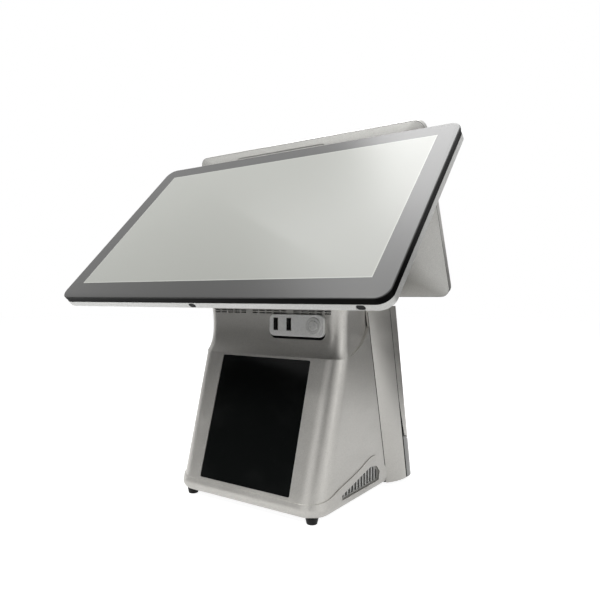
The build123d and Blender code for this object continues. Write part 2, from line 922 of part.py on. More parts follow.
def board_posts():
    """Four posts that lift the main board off the base plate."""
    post = Cylinder(post_radius, board_above_floor)
    x = board_width / 2 - post_inset
    front, back = board_front_y + post_inset, board_back_y - post_inset
    z = floor_height + board_above_floor / 2
    return [Pos(side * x, y, z) * post for side in (-1, 1) for y in (front, back)]


def main_board():
    """Main circuit board, lying over the base plate."""
    board = Box(board_width, board_back_y - board_front_y, board_thickness)
    return Pos(0, (board_front_y + board_back_y) / 2, board_height + board_thickness / 2) * board


def heat_sink():
    """Finned block on the processor."""
    front, back = board_front_y + sink_behind_board_front, drive_front_y - inner_gap
    middle_y, depth = (front + back) / 2, back - front
    low = board_height + board_thickness
    sink = Pos(0, middle_y, low + sink_base / 2) * Box(sink_width, depth, sink_base)
    pitch = (sink_width - sink_fin_thickness) / (sink_fin_count - 1)
    for index in range(sink_fin_count):
        x = (index - (sink_fin_count - 1) / 2) * pitch
        fin = Box(sink_fin_thickness, depth, sink_fin_height + sink_base)
        sink += Pos(x, middle_y, low + (sink_fin_height + sink_base) / 2) * fin
    return sink


def storage_drive():
    """Solid-state drive on the main board."""
    middle_y = (drive_front_y + drive_back_y) / 2
    z = board_height + board_thickness + drive_height / 2
    return Pos(0, middle_y, z) * Box(drive_width, drive_depth, drive_height)


def rear_sockets():
    """Row of metal-cased sockets at the board's rear edge, behind the cable cover."""
    floor = board_height + board_thickness
    return [
        Pos(x, socket_front_y + socket_depth / 2, floor + height / 2)
        * Box(width, socket_depth, height)
        for x, width, height in rear_socket_sizes
    ]


def speaker():
    """Round speaker on the left upright, behind the side vent."""
    y = (side_vent_front_y + side_vent_back_y) / 2
    z = floor_height + speaker_above_floor
    back = lying_rod(speaker_radius, -chassis_x - speaker_depth, -chassis_x, y, z)
    cone = lying_rod(cone_radius, -chassis_x - speaker_depth - cone_depth, -chassis_x - speaker_depth, y, z)
    return back + cone


# ---------------------------------------------------------------- hinges on the pedestal
def stand_bracket(sign):
    """Upright plate with a pivot hole for each display and a foot on the pedestal's top."""
    low = top_height
    body = make_face(
        Polyline(
            (main_pivot_y - main_lobe + plate_thickness, low),
            (main_pivot_y - main_lobe, main_pivot_z),
            (main_pivot_y + main_lobe * 0.6, main_pivot_z + main_lobe * 0.8),
            (rear_pivot_y + rear_lobe * 0.5, rear_pivot_z + rear_lobe * 0.85),
            (rear_pivot_y + rear_lobe, low),
            close=True,
        )
    )
    body += Pos(main_pivot_y, main_pivot_z) * Circle(main_lobe)
    body += Pos(rear_pivot_y, rear_pivot_z) * Circle(rear_lobe)
    body -= Pos(main_pivot_y, main_pivot_z) * Circle(main_shaft_radius + seat_gap)
    body -= Pos(rear_pivot_y, rear_pivot_z) * Circle(rear_shaft_radius + seat_gap)
    plate = extrude(Plane.YZ.offset(sign * pivot_x) * body, sign * plate_thickness)
    foot_front = main_pivot_y - main_lobe + plate_thickness
    foot_back = rear_pivot_y + rear_lobe
    foot = Pos(
        sign * (pivot_x + bracket_foot_width / 2),
        (foot_front + foot_back) / 2,
        low + plate_thickness / 2,
    ) * Box(bracket_foot_width, foot_back - foot_front, plate_thickness)
    return plate + foot


def hinge_shafts(radius, y, z):
    """One headed stub shaft per side, fixed in the bracket."""
    inner = arm_x - plate_thickness - inner_gap
    outer = pivot_x + plate_thickness + fit_gap / 3
    pin = lying_rod(radius, inner, outer, y, z)
    head = lying_rod(radius + shaft_head, outer, outer + shaft_head, y, z)
    nut = lying_rod(radius + shaft_head, inner - nut_thickness, inner, y, z)
    return mirrored_pair(pin + head + nut)


def hinge_washers():
    """Friction washers between each arm and its bracket."""
    washers = []
    for radius, y, z in (
        (main_shaft_radius, main_pivot_y, main_pivot_z),
        (rear_shaft_radius, rear_pivot_y, rear_pivot_z),
    ):
        outer = lying_rod(radius + washer_rim, arm_x, pivot_x, y, z)
        hole = lying_rod(radius + running_gap, arm_x - washer_thickness, pivot_x + washer_thickness, y, z)
        washers += mirrored_pair(outer - hole)
    return washers


# ---------------------------------------------------------------- main display
def main_slab(low, high, inset=0.0, corner=None):
    """Rounded slab in the main display's frame; levels count outwards from the glass face."""
    corner = glass_corner if corner is None else corner
    return slab(
        glass_width - 2 * inset, glass_height - 2 * inset, corner, low, high, glass_height / 2
    )


glass_back = -glass_thickness
band_back = glass_back - band_depth
rim_back = band_back - rim_depth
edge_back = rim_back - back_edge_depth
case_back = edge_back - back_bulge
lcd_back = glass_back - lcd_film - lcd_thickness


def touch_glass():
    """Cover glass over the whole front."""
    glass = main_slab(glass_back, 0.0)
    front = glass.faces().sort_by(Axis.Z)[-1]
    return main_face.location * fillet(front.edges(), glass_edge_round)


def display_band():
    """Gloss black frame that carries the glass."""
    band = main_slab(band_back, glass_back, band_inset, glass_corner - band_inset)
    band -= main_slab(band_back - cut_margin, glass_back + cut_margin, rim_wall, rim_inner_corner)
    return main_face.location * band


def display_rim():
    """Silver rim with two plugged screw places in its lower edge."""
    rim = main_slab(rim_back, band_back)
    rim -= main_slab(rim_back - cut_margin, band_back + cut_margin, rim_wall, rim_inner_corner)
    for x in plug_places():
        rim -= plug_block(x, fit_gap / 3)
    return main_face.location * rim


def plug_places():
    """Where the two plugs sit along the lower edge."""
    return [plug_middle - plug_spacing / 2, plug_middle + plug_spacing / 2]


def plug_block(x, clearance):
    """Rounded block set into the rim's lower edge."""
    half_height = plug_height / 2 + clearance
    face = RectangleRounded(plug_width + 2 * clearance, 2 * half_height, half_height - 0.05)
    start = -cut_margin if clearance else plug_sunk
    frame = Plane(origin=(x, start, (band_back + rim_back) / 2), x_dir=(1, 0, 0), z_dir=(0, 1, 0))
    return extrude(frame * face, plug_depth - start)


def accessory_plugs():
    """Black rubber plugs over the accessory screw holes."""
    return [main_face.location * plug_block(x, 0.0) for x in plug_places()]


def pillow(width, height, corner, edge_level, depth, inset, wall=0.0):
    """Closed body that swells from an outline to a smaller flat, like a cushion."""
    sections = [
        Pos(0, height / 2, edge_level - drop * (depth - wall))
        * RectangleRounded(
            width - 2 * (wall + share * inset),
            height - 2 * (wall + share * inset),
            corner - wall + share * inset * pillow_corner_growth,
        )
        for share, drop in pillow_stations
    ]
    return loft(sections)


def display_back_cover():
    """Pillow-shaped back cover, hollow, with screw holes for the hinge arms."""
    size = (glass_width, glass_height, glass_corner, edge_back, back_bulge, back_inset)
    cover = pillow(*size) + main_slab(edge_back, rim_back)
    cover -= pillow(*size, back_wall)
    cover -= main_slab(edge_back, rim_back, back_wall, glass_corner - back_wall)
    for x, u in arm_screw_places():
        cover -= Pos(x, u, case_back) * Cylinder(screw_radius + screw_fit, 4 * back_wall)
    return main_face.location * cover


def lcd_panel():
    """Display panel under the glass."""
    return main_face.location * main_slab(lcd_back, glass_back - lcd_film, lcd_border, lcd_corner)


def display_tray():
    """Folded steel tray that holds the panel and the touch board."""
    tray = main_slab(lcd_back - tray_thickness, lcd_back, rim_wall + fit_gap, tray_corner)
    for x in (-tray_hole_spacing_x, 0, tray_hole_spacing_x):
        for side in (-1, 1):
            u = glass_height / 2 + side * tray_hole_spacing_u / 2
            tray -= Pos(x, u, lcd_back) * Cylinder(tray_hole_radius, 4 * tray_thickness)
    return main_face.location * tray


def touch_board():
    """Controller board on the tray."""
    level = lcd_back - tray_thickness - board_thickness / 2
    board = Box(touch_board_width, touch_board_height, board_thickness)
    return main_face.location * (Pos(touch_board_offset, glass_height / 2, level) * board)


def to_main_frame(y, z):
    """Place of a point beside the main display: up its slope and outwards from its face."""
    dy = y - lip_y
    dz = z - lip_height
    lean = radians(main_lean)
    return dy * sin(lean) + dz * cos(lean), -dy * cos(lean) + dz * sin(lean)


pivot_u, pivot_w = to_main_frame(main_pivot_y, main_pivot_z)


def arm_screw_places():
    """Screws of the display arms, in the display's frame."""
    return [
        (sign * (arm_x - plate_thickness - arm_foot_width / 2), pivot_u + side * arm_screw_pitch / 2)
        for sign in (-1, 1)
        for side in (-1, 1)
    ]


def arm_ear(pivot_across, lobe, shaft, face_level, half_length, middle):
    """Ear of a display arm: a wedge from its foot to the pivot, as an outline."""
    ear = make_face(
        Polyline(
            (middle - half_length, face_level),
            (middle - lobe * 0.9, pivot_across - lobe * 0.2),
            (middle + lobe * 0.9, pivot_across - lobe * 0.2),
            (middle + half_length, face_level),
            close=True,
        )
    )
    ear += Pos(middle, pivot_across) * Circle(lobe)
    return ear - Pos(middle, pivot_across) * Circle(shaft + running_gap)


def main_arm(sign):
    """Steel arm from the display's back to the hinge shaft."""
    outline = arm_ear(-pivot_w, main_lobe, main_shaft_radius, -case_back, arm_half_length, pivot_u)
    frame = Plane(origin=(sign * arm_x, 0, 0), x_dir=(0, 1, 0), z_dir=(-1, 0, 0))
    ear = extrude(frame * outline, sign * plate_thickness)
    foot_x = sign * (arm_x - plate_thickness / 2 - arm_foot_width / 2)
    foot = Pos(foot_x, pivot_u, case_back - plate_thickness / 2) * Box(
        arm_foot_width + plate_thickness, 2 * arm_half_length, plate_thickness
    )
    arm = ear + foot
    for x, u in arm_screw_places():
        if x * sign > 0:
            arm -= Pos(x, u, case_back) * Cylinder(screw_radius + screw_play, 4 * plate_thickness)
    return main_face.location * arm


def screw(length):
    """Pan-head screw along Z, head on top at zero."""
    head = Pos(0, 0, screw_head_height / 2) * Cylinder(screw_head_radius, screw_head_height)
    head = chamfer(head.edges().group_by(Axis.Z)[-1], screw_head_chamfer)
    shank = Pos(0, 0, -length / 2) * Cylinder(screw_radius, length)
    return head + shank


def main_arm_screws():
    """Screws through the arms into the back cover."""
    turned = Rot(180, 0, 0) * screw(screw_length)
    return [
        main_face.location * (Pos(x, u, case_back - plate_thickness) * turned)
        for x, u in arm_screw_places()
    ]


# ---------------------------------------------------------------- customer display
def rear_slab(low, high, inset=0.0, corner=None):
    """Rounded slab in the customer display's frame."""
    corner = rear_corner if corner is None else corner
    return slab(
        rear_width - 2 * inset, rear_height - 2 * inset, corner, low, high, rear_height / 2
    )


rear_bezel_back = -rear_glass_thickness - rear_bezel_depth
rear_case_back = rear_bezel_back - rear_case_depth
rear_lcd_back = -rear_glass_thickness - lcd_film - rear_lcd_thickness


def customer_glass():
    """Cover glass on the customer's side."""
    glass = rear_slab(-rear_glass_thickness, 0.0, rear_glass_inset, rear_corner - rear_glass_inset)
    return rear_face.location * glass


def customer_bezel():
    """Silver front frame of the customer display."""
    bezel = rear_slab(rear_bezel_back, 0.0)
    bezel = fillet(bezel.faces().sort_by(Axis.Z)[-1].edges(), small_round)
    corner = rear_corner - rear_rebate_inset
    bezel -= rear_slab(-rear_glass_thickness, cut_margin, rear_rebate_inset, corner)
    bezel -= rear_slab(rear_bezel_back - cut_margin, cut_margin, rear_bezel_wall, tray_corner)
    return rear_face.location * bezel


def customer_case_body(wall):
    """Cushion-shaped case behind the bezel."""
    return pillow(
        rear_width, rear_height, rear_corner, rear_bezel_back, rear_case_depth, rear_case_inset, wall
    )


def lid_block(clearance):
    """Region of the service lid, let into the case's upper edge."""
    width = lid_right - lid_left
    face = RectangleRounded(
        width + 2 * clearance, 2 * lid_depth + 2 * clearance, lid_corner + clearance
    )
    frame = Plane(
        origin=(-(lid_left + lid_right) / 2, rear_height - lid_drop - clearance, rear_case_back),
        x_dir=(1, 0, 0),
        z_dir=(0, 1, 0),
    )
    return extrude(frame * face, lid_drop + cavity_overrun)


def customer_back_cover():
    """Rounded back case with a seat for the service lid."""
    outer = customer_case_body(0.0)
    inner = customer_case_body(rear_wall)
    cover = outer - inner
    cover -= lid_block(lid_gap)
    floor = customer_case_body(rear_wall) - customer_case_body(2 * rear_wall - lid_seat_lap)
    cover += floor & lid_block(lid_seat_width)
    for x, v in rear_arm_screw_places():
        cover -= Pos(x, v, rear_case_back) * Cylinder(screw_radius + screw_fit, 4 * rear_wall)
    return rear_face.location * cover


def customer_lid():
    """Service lid that wraps over the case's upper edge."""
    lid = customer_case_body(0.0) & lid_block(0.0)
    lid -= customer_case_body(rear_wall)
    return rear_face.location * lid


def customer_lcd():
    """Panel of the customer display."""
    high = -rear_glass_thickness - lcd_film
    return rear_face.location * rear_slab(rear_lcd_back, high, rear_lcd_border, lcd_corner)


def customer_board():
    """Driver board and panel plate inside the customer display."""
    level = rear_lcd_back - rear_plate_thickness
    plate = rear_slab(level, rear_lcd_back, rear_plate_border, tray_corner)
    board = Box(rear_board_width, rear_board_height, rear_board_thickness)
    board = Pos(rear_board_offset, rear_height / 2, level - rear_board_thickness / 2) * board
    return rear_face.location * (plate + board)


def to_rear_frame(y, z):
    """Place of a point beside the customer display: up its slope and outwards from its face."""
    dy = y - rear_lip_y
    dz = z - rear_lip_height
    lean = radians(rear_lean)
    return -dy * sin(lean) + dz * cos(lean), dy * cos(lean) + dz * sin(lean)


rear_pivot_v, rear_pivot_q = to_rear_frame(rear_pivot_y, rear_pivot_z)


def rear_arm_screw_places():
    """Screws of the customer display's arms."""
    return [
        (sign * (arm_x - plate_thickness - arm_foot_width / 2), v)
        for sign in (-1, 1)
        for v in rear_arm_screws_v
    ]


def customer_arm(sign):
    """Steel arm under the customer display."""
    across = -rear_pivot_q
    ear = make_face(
        Polyline(
            (rear_arm_low - rear_arm_spread, -rear_case_back),
            (rear_pivot_v - 0.5 * rear_lobe, across - 0.86 * rear_lobe),
            (rear_pivot_v + 0.5 * rear_lobe, across + 0.86 * rear_lobe),
            (rear_arm_high, -rear_case_back),
            close=True,
        )
    )
    ear += Pos(rear_pivot_v, across) * Circle(rear_lobe)
    ear -= Pos(rear_pivot_v, across) * Circle(rear_shaft_radius + running_gap)
    frame = Plane(origin=(sign * arm_x, 0, 0), x_dir=(0, 1, 0), z_dir=(-1, 0, 0))
    plate = extrude(frame * ear, sign * plate_thickness)
    foot_x = sign * (arm_x - plate_thickness / 2 - arm_foot_width / 2)
    foot = Pos(
        foot_x, (rear_arm_low + rear_arm_high) / 2, rear_case_back - plate_thickness / 2
    ) * Box(arm_foot_width + plate_thickness, rear_arm_high - rear_arm_low, plate_thickness)
    arm = plate + foot
    for x, v in rear_arm_screw_places():
        if x * sign > 0:
            arm -= Pos(x, v, rear_case_back) * Cylinder(screw_radius + screw_play, 4 * plate_thickness)
    return rear_face.location * arm


def customer_arm_screws():
    """Screws through the arms into the customer display's case."""
    turned = Rot(180, 0, 0) * screw(rear_screw_length)
    return [
        rear_face.location * (Pos(x, v, rear_case_back - plate_thickness) * turned)
        for x, v in rear_arm_screw_places()
    ]


# ---------------------------------------------------------------- nodes
nodes = {
    "base_front_shell": base_front_shell(),
    "base_rear_shell": base_rear_shell(),
    "rear_cover": rear_cover(),
    "cable_cover": cable_cover(),
    "base_plate": base_plate(),
    "rubber_feet": rubber_feet(),
    "front_window": front_window(),
    "side_vent_right": side_vent_grille(1),
    "side_vent_left": side_vent_grille(-1),
    "port_plate": port_plate(),
    "usb_shells": usb_shells(),
    "usb_tongues": usb_tongues(),
    "port_board": port_board(),
    "button_ring": button_ring(),
    "power_button": power_button(),
    "power_switch": power_switch(),
    "chassis_right": chassis_side(1),
    "chassis_left": chassis_side(-1),
    "board_posts": board_posts(),
    "main_board": main_board(),
    "heat_sink": heat_sink(),
    "storage_drive": storage_drive(),
    "rear_sockets": rear_sockets(),
    "speaker": speaker(),
    "stand_bracket_right": stand_bracket(1),
    "stand_bracket_left": stand_bracket(-1),
    "main_hinge_shafts": hinge_shafts(main_shaft_radius, main_pivot_y, main_pivot_z),
    "customer_hinge_shafts": hinge_shafts(rear_shaft_radius, rear_pivot_y, rear_pivot_z),
    "hinge_washers": hinge_washers(),
    "touch_glass": touch_glass(),
    "display_band": display_band(),
    "display_rim": display_rim(),
    "accessory_plugs": accessory_plugs(),
    "display_back_cover": display_back_cover(),
    "lcd_panel": lcd_panel(),
    "display_tray": display_tray(),
    "touch_board": touch_board(),
    "main_arm_right": main_arm(1),
    "main_arm_left": main_arm(-1),
    "main_arm_screws": main_arm_screws(),
    "customer_glass": customer_glass(),
    "customer_bezel": customer_bezel(),
    "customer_back_cover": customer_back_cover(),
    "customer_lid": customer_lid(),
    "customer_lcd": customer_lcd(),
    "customer_board": customer_board(),
    "customer_arm_right": customer_arm(1),
    "customer_arm_left": customer_arm(-1),
    "customer_arm_screws": customer_arm_screws(),
}

os.makedirs("parts", exist_ok=True)
for name, shape in nodes.items():
    body = Compound(children=list(shape)) if isinstance(shape, list) else shape
    body.label = name
    export_step(body, f"parts/{name}.step")
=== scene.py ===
"""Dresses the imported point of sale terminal: finishes, fine pieces, studio and camera."""
import logging
import math
from dataclasses import dataclass, field
from enum import Enum

import bmesh
import bpy
import numpy as np
from mathutils import Matrix, Vector


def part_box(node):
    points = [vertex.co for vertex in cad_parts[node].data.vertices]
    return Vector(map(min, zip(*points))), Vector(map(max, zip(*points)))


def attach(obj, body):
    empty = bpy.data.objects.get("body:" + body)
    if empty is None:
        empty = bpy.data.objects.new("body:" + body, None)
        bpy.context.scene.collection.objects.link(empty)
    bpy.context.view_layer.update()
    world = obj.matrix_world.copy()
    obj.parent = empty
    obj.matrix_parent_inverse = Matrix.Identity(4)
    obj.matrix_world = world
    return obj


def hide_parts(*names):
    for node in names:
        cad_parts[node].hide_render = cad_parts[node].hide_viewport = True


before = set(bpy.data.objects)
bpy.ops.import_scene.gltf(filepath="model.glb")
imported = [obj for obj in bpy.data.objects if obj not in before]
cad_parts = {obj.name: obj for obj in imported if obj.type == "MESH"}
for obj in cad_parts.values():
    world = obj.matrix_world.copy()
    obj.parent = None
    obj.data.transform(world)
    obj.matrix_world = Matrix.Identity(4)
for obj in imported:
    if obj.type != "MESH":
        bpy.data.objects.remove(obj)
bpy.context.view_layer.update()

LOG = logging.getLogger("terminal")
Colour = tuple[float, float, float]
Point = tuple[float, float, float]
MILLIMETRE = 0.001
ACROSS: Point = (1.0, 0.0, 0.0)
WHITE = (1.0, 1.0, 1.0, 1.0)
SHARP_ANGLE = math.radians(35.0)
SIDES = (("right", 1.0), ("left", -1.0))


class Body(Enum):
    """The terminal's bodies, as the record names them."""

    BASE = "base"
    MAIN_DISPLAY = "main_display"
    CUSTOMER_DISPLAY = "customer_display"
    POWER_BUTTON = "power_button"


# ---------------------------------------------------------------- surfaces
@dataclass(frozen=True)
class Leaning:
    """Plane of a display or a plate: an origin, and the directions across, up and outward."""

    origin: Point
    across: Point
    up: Point

    def place(self, points: np.ndarray, level: float) -> np.ndarray:
        """Carries flat points into the object: origin + across * x + up * y + outward * level.

        Args:
            points: rows of x and y in metres.
            level: height over the plane, outwards.

        Returns:
            Rows of x, y and z.
        """
        across, up = np.array(self.across), np.array(self.up)
        flat = points[:, :1] * across + points[:, 1:] * up
        return np.array(self.origin) + flat + level * np.cross(across, up)


def rounded_rectangle(width: float, height: float, corner: float, steps: int = 10) -> np.ndarray:
    """Outline of a rounded rectangle: four quarter circles, each about its own corner centre.

    Args:
        width: size across.
        height: size up.
        corner: corner radius.
        steps: points along each quarter circle.

    Returns:
        Rows of x and y, anticlockwise, about the middle.
    """
    turn = np.linspace(0.0, np.pi / 2, steps)
    quarter = np.stack([np.cos(turn), np.sin(turn)], axis=1) * corner
    half = np.array([width / 2 - corner, height / 2 - corner])
    quarters = []
    for sign_x, sign_y in ((1, 1), (-1, 1), (-1, -1), (1, -1)):
        ordered = quarter if sign_x * sign_y > 0 else quarter[::-1]
        quarters.append((ordered + half) * np.array([sign_x, sign_y]))
    return np.concatenate(quarters)


def build_piece(
    name: str, rings: np.ndarray, ends_meet: bool, body: Body, slot: str, *finishes: bpy.types.Material
) -> bpy.types.Object:
    """Joins rings of points into one closed piece that rides on a body.

    Args:
        name: the piece's name.
        rings: array of rings, points along each ring, and x, y, z.
        ends_meet: True where the last ring joins the first, False where both are closed flat.
        body: what the piece moves with.
        slot: the record's material slot; not used.
        finishes: the piece's materials, in order.

    Returns:
        The piece, with its faces turned outwards.
    """
    ring_count, point_count = rings.shape[:2]
    ring, point = np.meshgrid(
        np.arange(ring_count if ends_meet else ring_count - 1), np.arange(point_count), indexing="ij"
    )
    next_ring, next_point = (ring + 1) % ring_count, (point + 1) % point_count
    quads = np.stack(
        [ring * point_count + point, ring * point_count + next_point,
         next_ring * point_count + next_point, next_ring * point_count + point], axis=-1,
    ).reshape(-1, 4)
    faces = quads.tolist()
    if not ends_meet:
        last = (ring_count - 1) * point_count
        faces.append(list(range(point_count))[::-1])
        faces.append(list(range(last, last + point_count)))
    mesh = bpy.data.meshes.new(name)
    mesh.from_pydata(rings.reshape(-1, 3).tolist(), [], faces)
    work = bmesh.new()
    work.from_mesh(mesh)
    bmesh.ops.recalc_face_normals(work, faces=work.faces)
    work.to_mesh(mesh)
    work.free()
    mesh.shade_smooth()
    mesh.set_sharp_from_angle(angle=SHARP_ANGLE)
    piece = bpy.data.objects.new(name, mesh)
    bpy.context.scene.collection.objects.link(piece)
    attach(piece, body.value)
    for finish in finishes:
        mesh.materials.append(finish)
    LOG.info("%s built, %d points", name, len(mesh.vertices))
    return piece


# ---------------------------------------------------------------- node trees
class Graph:
    """Adds nodes to a material, world or node group and joins them."""

    def __init__(self, tree: bpy.types.NodeTree) -> None:
        """Keeps the tree that the nodes go into."""
        self.tree = tree

    def put(self, node: bpy.types.Node, values: dict[str | int, object]) -> None:
        """Sets a node's inputs, or joins outputs to them.

        Args:
            node: the node.
            values: input name or number to a constant or to an output to join.
        """
        for name, value in values.items():
            if isinstance(value, bpy.types.NodeSocket):
                self.tree.links.new(value, node.inputs[name])
            else:
                node.inputs[name].default_value = value

    def add(
        self, kind: str, values: dict[str | int, object] | None = None, **settings: object
    ) -> bpy.types.Node:
        """Adds one node.

        Args:
            kind: the node's type name.
            values: input name or number to a constant or to an output to join.
            settings: attributes of the node itself.

        Returns:
            The new node.
        """
        node = self.tree.nodes.new(kind)
        for name, value in settings.items():
            setattr(node, name, value)
        self.put(node, values or {})
        return node

    def math(self, operation: str, *terms: object) -> bpy.types.NodeSocket:
        """Adds a Math node over one to three terms and returns its value."""
        return self.add("ShaderNodeMath", dict(enumerate(terms)), operation=operation).outputs[0]

    def ramp(
        self, value: object, low: float, high: float, start: float = 0.0, end: float = 1.0
    ) -> bpy.types.NodeSocket:
        """Maps a value smoothly from low..high to start..end.

        Args:
            value: output that is mapped.
            low: value that gives start.
            high: value that gives end.
            start: result at low.
            end: result at high.

        Returns:
            The mapped output.
        """
        values = {"Value": value, "From Min": low, "From Max": high, "To Min": start, "To Max": end}
        return self.add("ShaderNodeMapRange", values, interpolation_type="SMOOTHSTEP").outputs[0]

    def mix(self, share: object, first: object, second: object) -> bpy.types.NodeSocket:
        """Mixes two colours.

        Args:
            share: how much of the second colour shows, a number or an output.
            first: colour at a share of 0.
            second: colour at a share of 1.

        Returns:
            The mixed colour's output.
        """
        node = self.add("ShaderNodeMix", data_type="RGBA")
        colours = [socket for socket in node.inputs if socket.type == "RGBA"]
        for socket, value in zip((node.inputs["Factor"], *colours), (share, first, second)):
            if isinstance(value, bpy.types.NodeSocket):
                self.tree.links.new(value, socket)
            else:
                socket.default_value = (*value, 1.0) if isinstance(value, tuple) else value
        return next(socket for socket in node.outputs if socket.type == "RGBA")

    def noise(self, place: object, scale: object, detail: float = 2.0) -> bpy.types.NodeSocket:
        """Adds a noise texture over a place and returns its value."""
        values = {"Vector": place, "Scale": scale, "Detail": detail}
        return self.add("ShaderNodeTexNoise", values).outputs["Fac"]


def object_place(graph: Graph) -> bpy.types.NodeSocket:
    """Object coordinates, in metres in the shared frame."""
    return graph.add("ShaderNodeTexCoord").outputs["Object"]


def seen_directly(graph: Graph, *kinds: str) -> bpy.types.NodeSocket:
    """Tells what the camera sees, itself or in gloss, from what only lights the object.

    Args:
        graph: tree of a material or the world.
        kinds: outputs of Light Path that count as well.

    Returns:
        An output of 1 for such rays and 0 for the others.
    """
    rays = graph.add("ShaderNodeLightPath").outputs
    seen = graph.math("MAXIMUM", rays["Is Camera Ray"], rays["Is Glossy Ray"])
    for kind in kinds:
        seen = graph.math("MAXIMUM", seen, rays[kind])
    return seen


# Each span runs from the value where an effect starts to the value where it is full.
SMEAR_SPAN = (0.45, 0.72)
TONE_SPAN = (0.3, 0.7)
EDGE_SPAN = (0.995, 0.9)
PATCH_SPAN = (0.42, 0.62)
UPWARD_SPAN = (0.35, 0.95)
CLOUD_SPAN = (0.35, 0.75)
CELL_HEIGHT = 0.5
TONE_COARSENESS = 0.35
PATCH_SCALE = 140.0
CLOUD_SCALE = 60.0


def new_group(
    name: str, inputs: dict[str, float], outputs: dict[str, str]
) -> tuple[bpy.types.NodeTree, Graph, bpy.types.Node, bpy.types.Node]:
    """Starts a shader node group.

    Args:
        name: the group's name.
        inputs: input name to its usual value.
        outputs: output name to its socket type.

    Returns:
        The group tree, its graph, its input node and its output node.
    """
    tree = bpy.data.node_groups.new(name, "ShaderNodeTree")
    for label, value in inputs.items():
        socket = tree.interface.new_socket(label, in_out="INPUT", socket_type="NodeSocketFloat")
        socket.default_value = value
    for label, kind in outputs.items():
        tree.interface.new_socket(label, in_out="OUTPUT", socket_type=kind)
    graph = Graph(tree)
    return tree, graph, graph.add("NodeGroupInput"), graph.add("NodeGroupOutput")


def build_grain_group() -> bpy.types.NodeTree:
    """Fine moulded grain: soft noise with small cells, as a height and a fleck of brightness.

    Returns:
        A group with input Scale per metre and outputs Height and Fleck.
    """
    tree, graph, given, result = new_group(
        "moulded_grain", {"Scale": 2500.0}, {"Height": "NodeSocketFloat", "Fleck": "NodeSocketFloat"}
    )
    place = object_place(graph)
    soft = graph.noise(place, given.outputs["Scale"])
    cells = graph.add("ShaderNodeTexVoronoi", {"Vector": place, "Scale": given.outputs["Scale"]})
    height = graph.math("MULTIPLY_ADD", cells.outputs["Distance"], CELL_HEIGHT, soft)
    fleck = graph.add("ShaderNodeSeparateColor", {"Color": cells.outputs["Color"]}).outputs["Red"]
    graph.put(result, {"Height": height, "Fleck": fleck})
    return tree


def build_handling_group() -> bpy.types.NodeTree:
    """Faint smears and cloudy tone left by hands and wiping.

    Returns:
        A group with inputs Scale and Stretch, and outputs Smear and Tone from 0 to 1.
    """
    tree, graph, given, result = new_group(
        "handling_marks", {"Scale": 22.0, "Stretch": 3.0},
        {"Smear": "NodeSocketFloat", "Tone": "NodeSocketFloat"},
    )
    place = object_place(graph)
    longer = graph.add("ShaderNodeCombineXYZ", {"X": 1.0, "Y": 1.0, "Z": given.outputs["Stretch"]})
    stretched = graph.add(
        "ShaderNodeVectorMath", {0: place, 1: longer.outputs[0]}, operation="MULTIPLY"
    ).outputs[0]
    smear = graph.ramp(graph.noise(stretched, given.outputs["Scale"], 5.0), *SMEAR_SPAN)
    coarse = graph.math("MULTIPLY", given.outputs["Scale"], TONE_COARSENESS)
    tone = graph.ramp(graph.noise(place, coarse, 3.0), *TONE_SPAN)
    graph.put(result, {"Smear": smear, "Tone": tone})
    return tree


def build_wear_group() -> bpy.types.NodeTree:
    """Rubbed edges: where the rounded normal leaves the true one, broken up by noise.

    Returns:
        A group with inputs Radius and Amount, and output Mask.
    """
    tree, graph, given, result = new_group(
        "edge_wear", {"Radius": 0.0008, "Amount": 1.0}, {"Mask": "NodeSocketFloat"}
    )
    rounded = graph.add("ShaderNodeBevel", {"Radius": given.outputs["Radius"]}, samples=4)
    true = graph.add("ShaderNodeNewGeometry")
    same = graph.add(
        "ShaderNodeVectorMath", {0: rounded.outputs[0], 1: true.outputs["Normal"]}, operation="DOT_PRODUCT"
    ).outputs["Value"]
    edge = graph.ramp(same, *EDGE_SPAN)
    patch = graph.ramp(graph.noise(object_place(graph), PATCH_SCALE, 4.0), *PATCH_SPAN)
    mask = graph.math("MULTIPLY", graph.math("MULTIPLY", edge, patch), given.outputs["Amount"])
    graph.put(result, {"Mask": mask})
    return tree


def build_dust_group() -> bpy.types.NodeTree:
    """Thin dust that settles on what faces up.

    Returns:
        A group with input Amount and output Mask.
    """
    tree, graph, given, result = new_group("settled_dust", {"Amount": 0.3}, {"Mask": "NodeSocketFloat"})
    normal = graph.add("ShaderNodeNewGeometry").outputs["Normal"]
    upward = graph.add("ShaderNodeSeparateXYZ", {0: normal}).outputs["Z"]
    lying = graph.ramp(upward, *UPWARD_SPAN)
    cloud = graph.ramp(graph.noise(object_place(graph), CLOUD_SCALE, 6.0), *CLOUD_SPAN)
    mask = graph.math("MULTIPLY", graph.math("MULTIPLY", lying, cloud), given.outputs["Amount"])
    graph.put(result, {"Mask": mask})
    return tree


class Effects:
    """The node groups that several finishes share."""

    def __init__(self) -> None:
        """Builds each group once."""
        self.grain = build_grain_group()
        self.handling = build_handling_group()
        self.wear = build_wear_group()
        self.dust = build_dust_group()


def toned(colour: Colour, share: float, lift: float = 0.0) -> Colour:
    """The colour times a share plus a lift, at most white."""
    return tuple(min(1.0, share * part + lift) for part in colour)


def use_group(graph: Graph, tree: bpy.types.NodeTree, **values: float) -> bpy.types.Node:
    """Places a group in a material with its own values and returns the node."""
    return graph.add("ShaderNodeGroup", values, node_tree=tree)


def start_material(name: str) -> tuple[bpy.types.Material, Graph, bpy.types.Node]:
    """Starts a material.

    Args:
        name: the material's name.

    Returns:
        The material, its graph and its Principled BSDF.
    """
    material = bpy.data.materials.new(name)
    material.use_nodes = True
    graph = Graph(material.node_tree)
    shader = material.node_tree.nodes["Principled BSDF"]
    return material, graph, shader


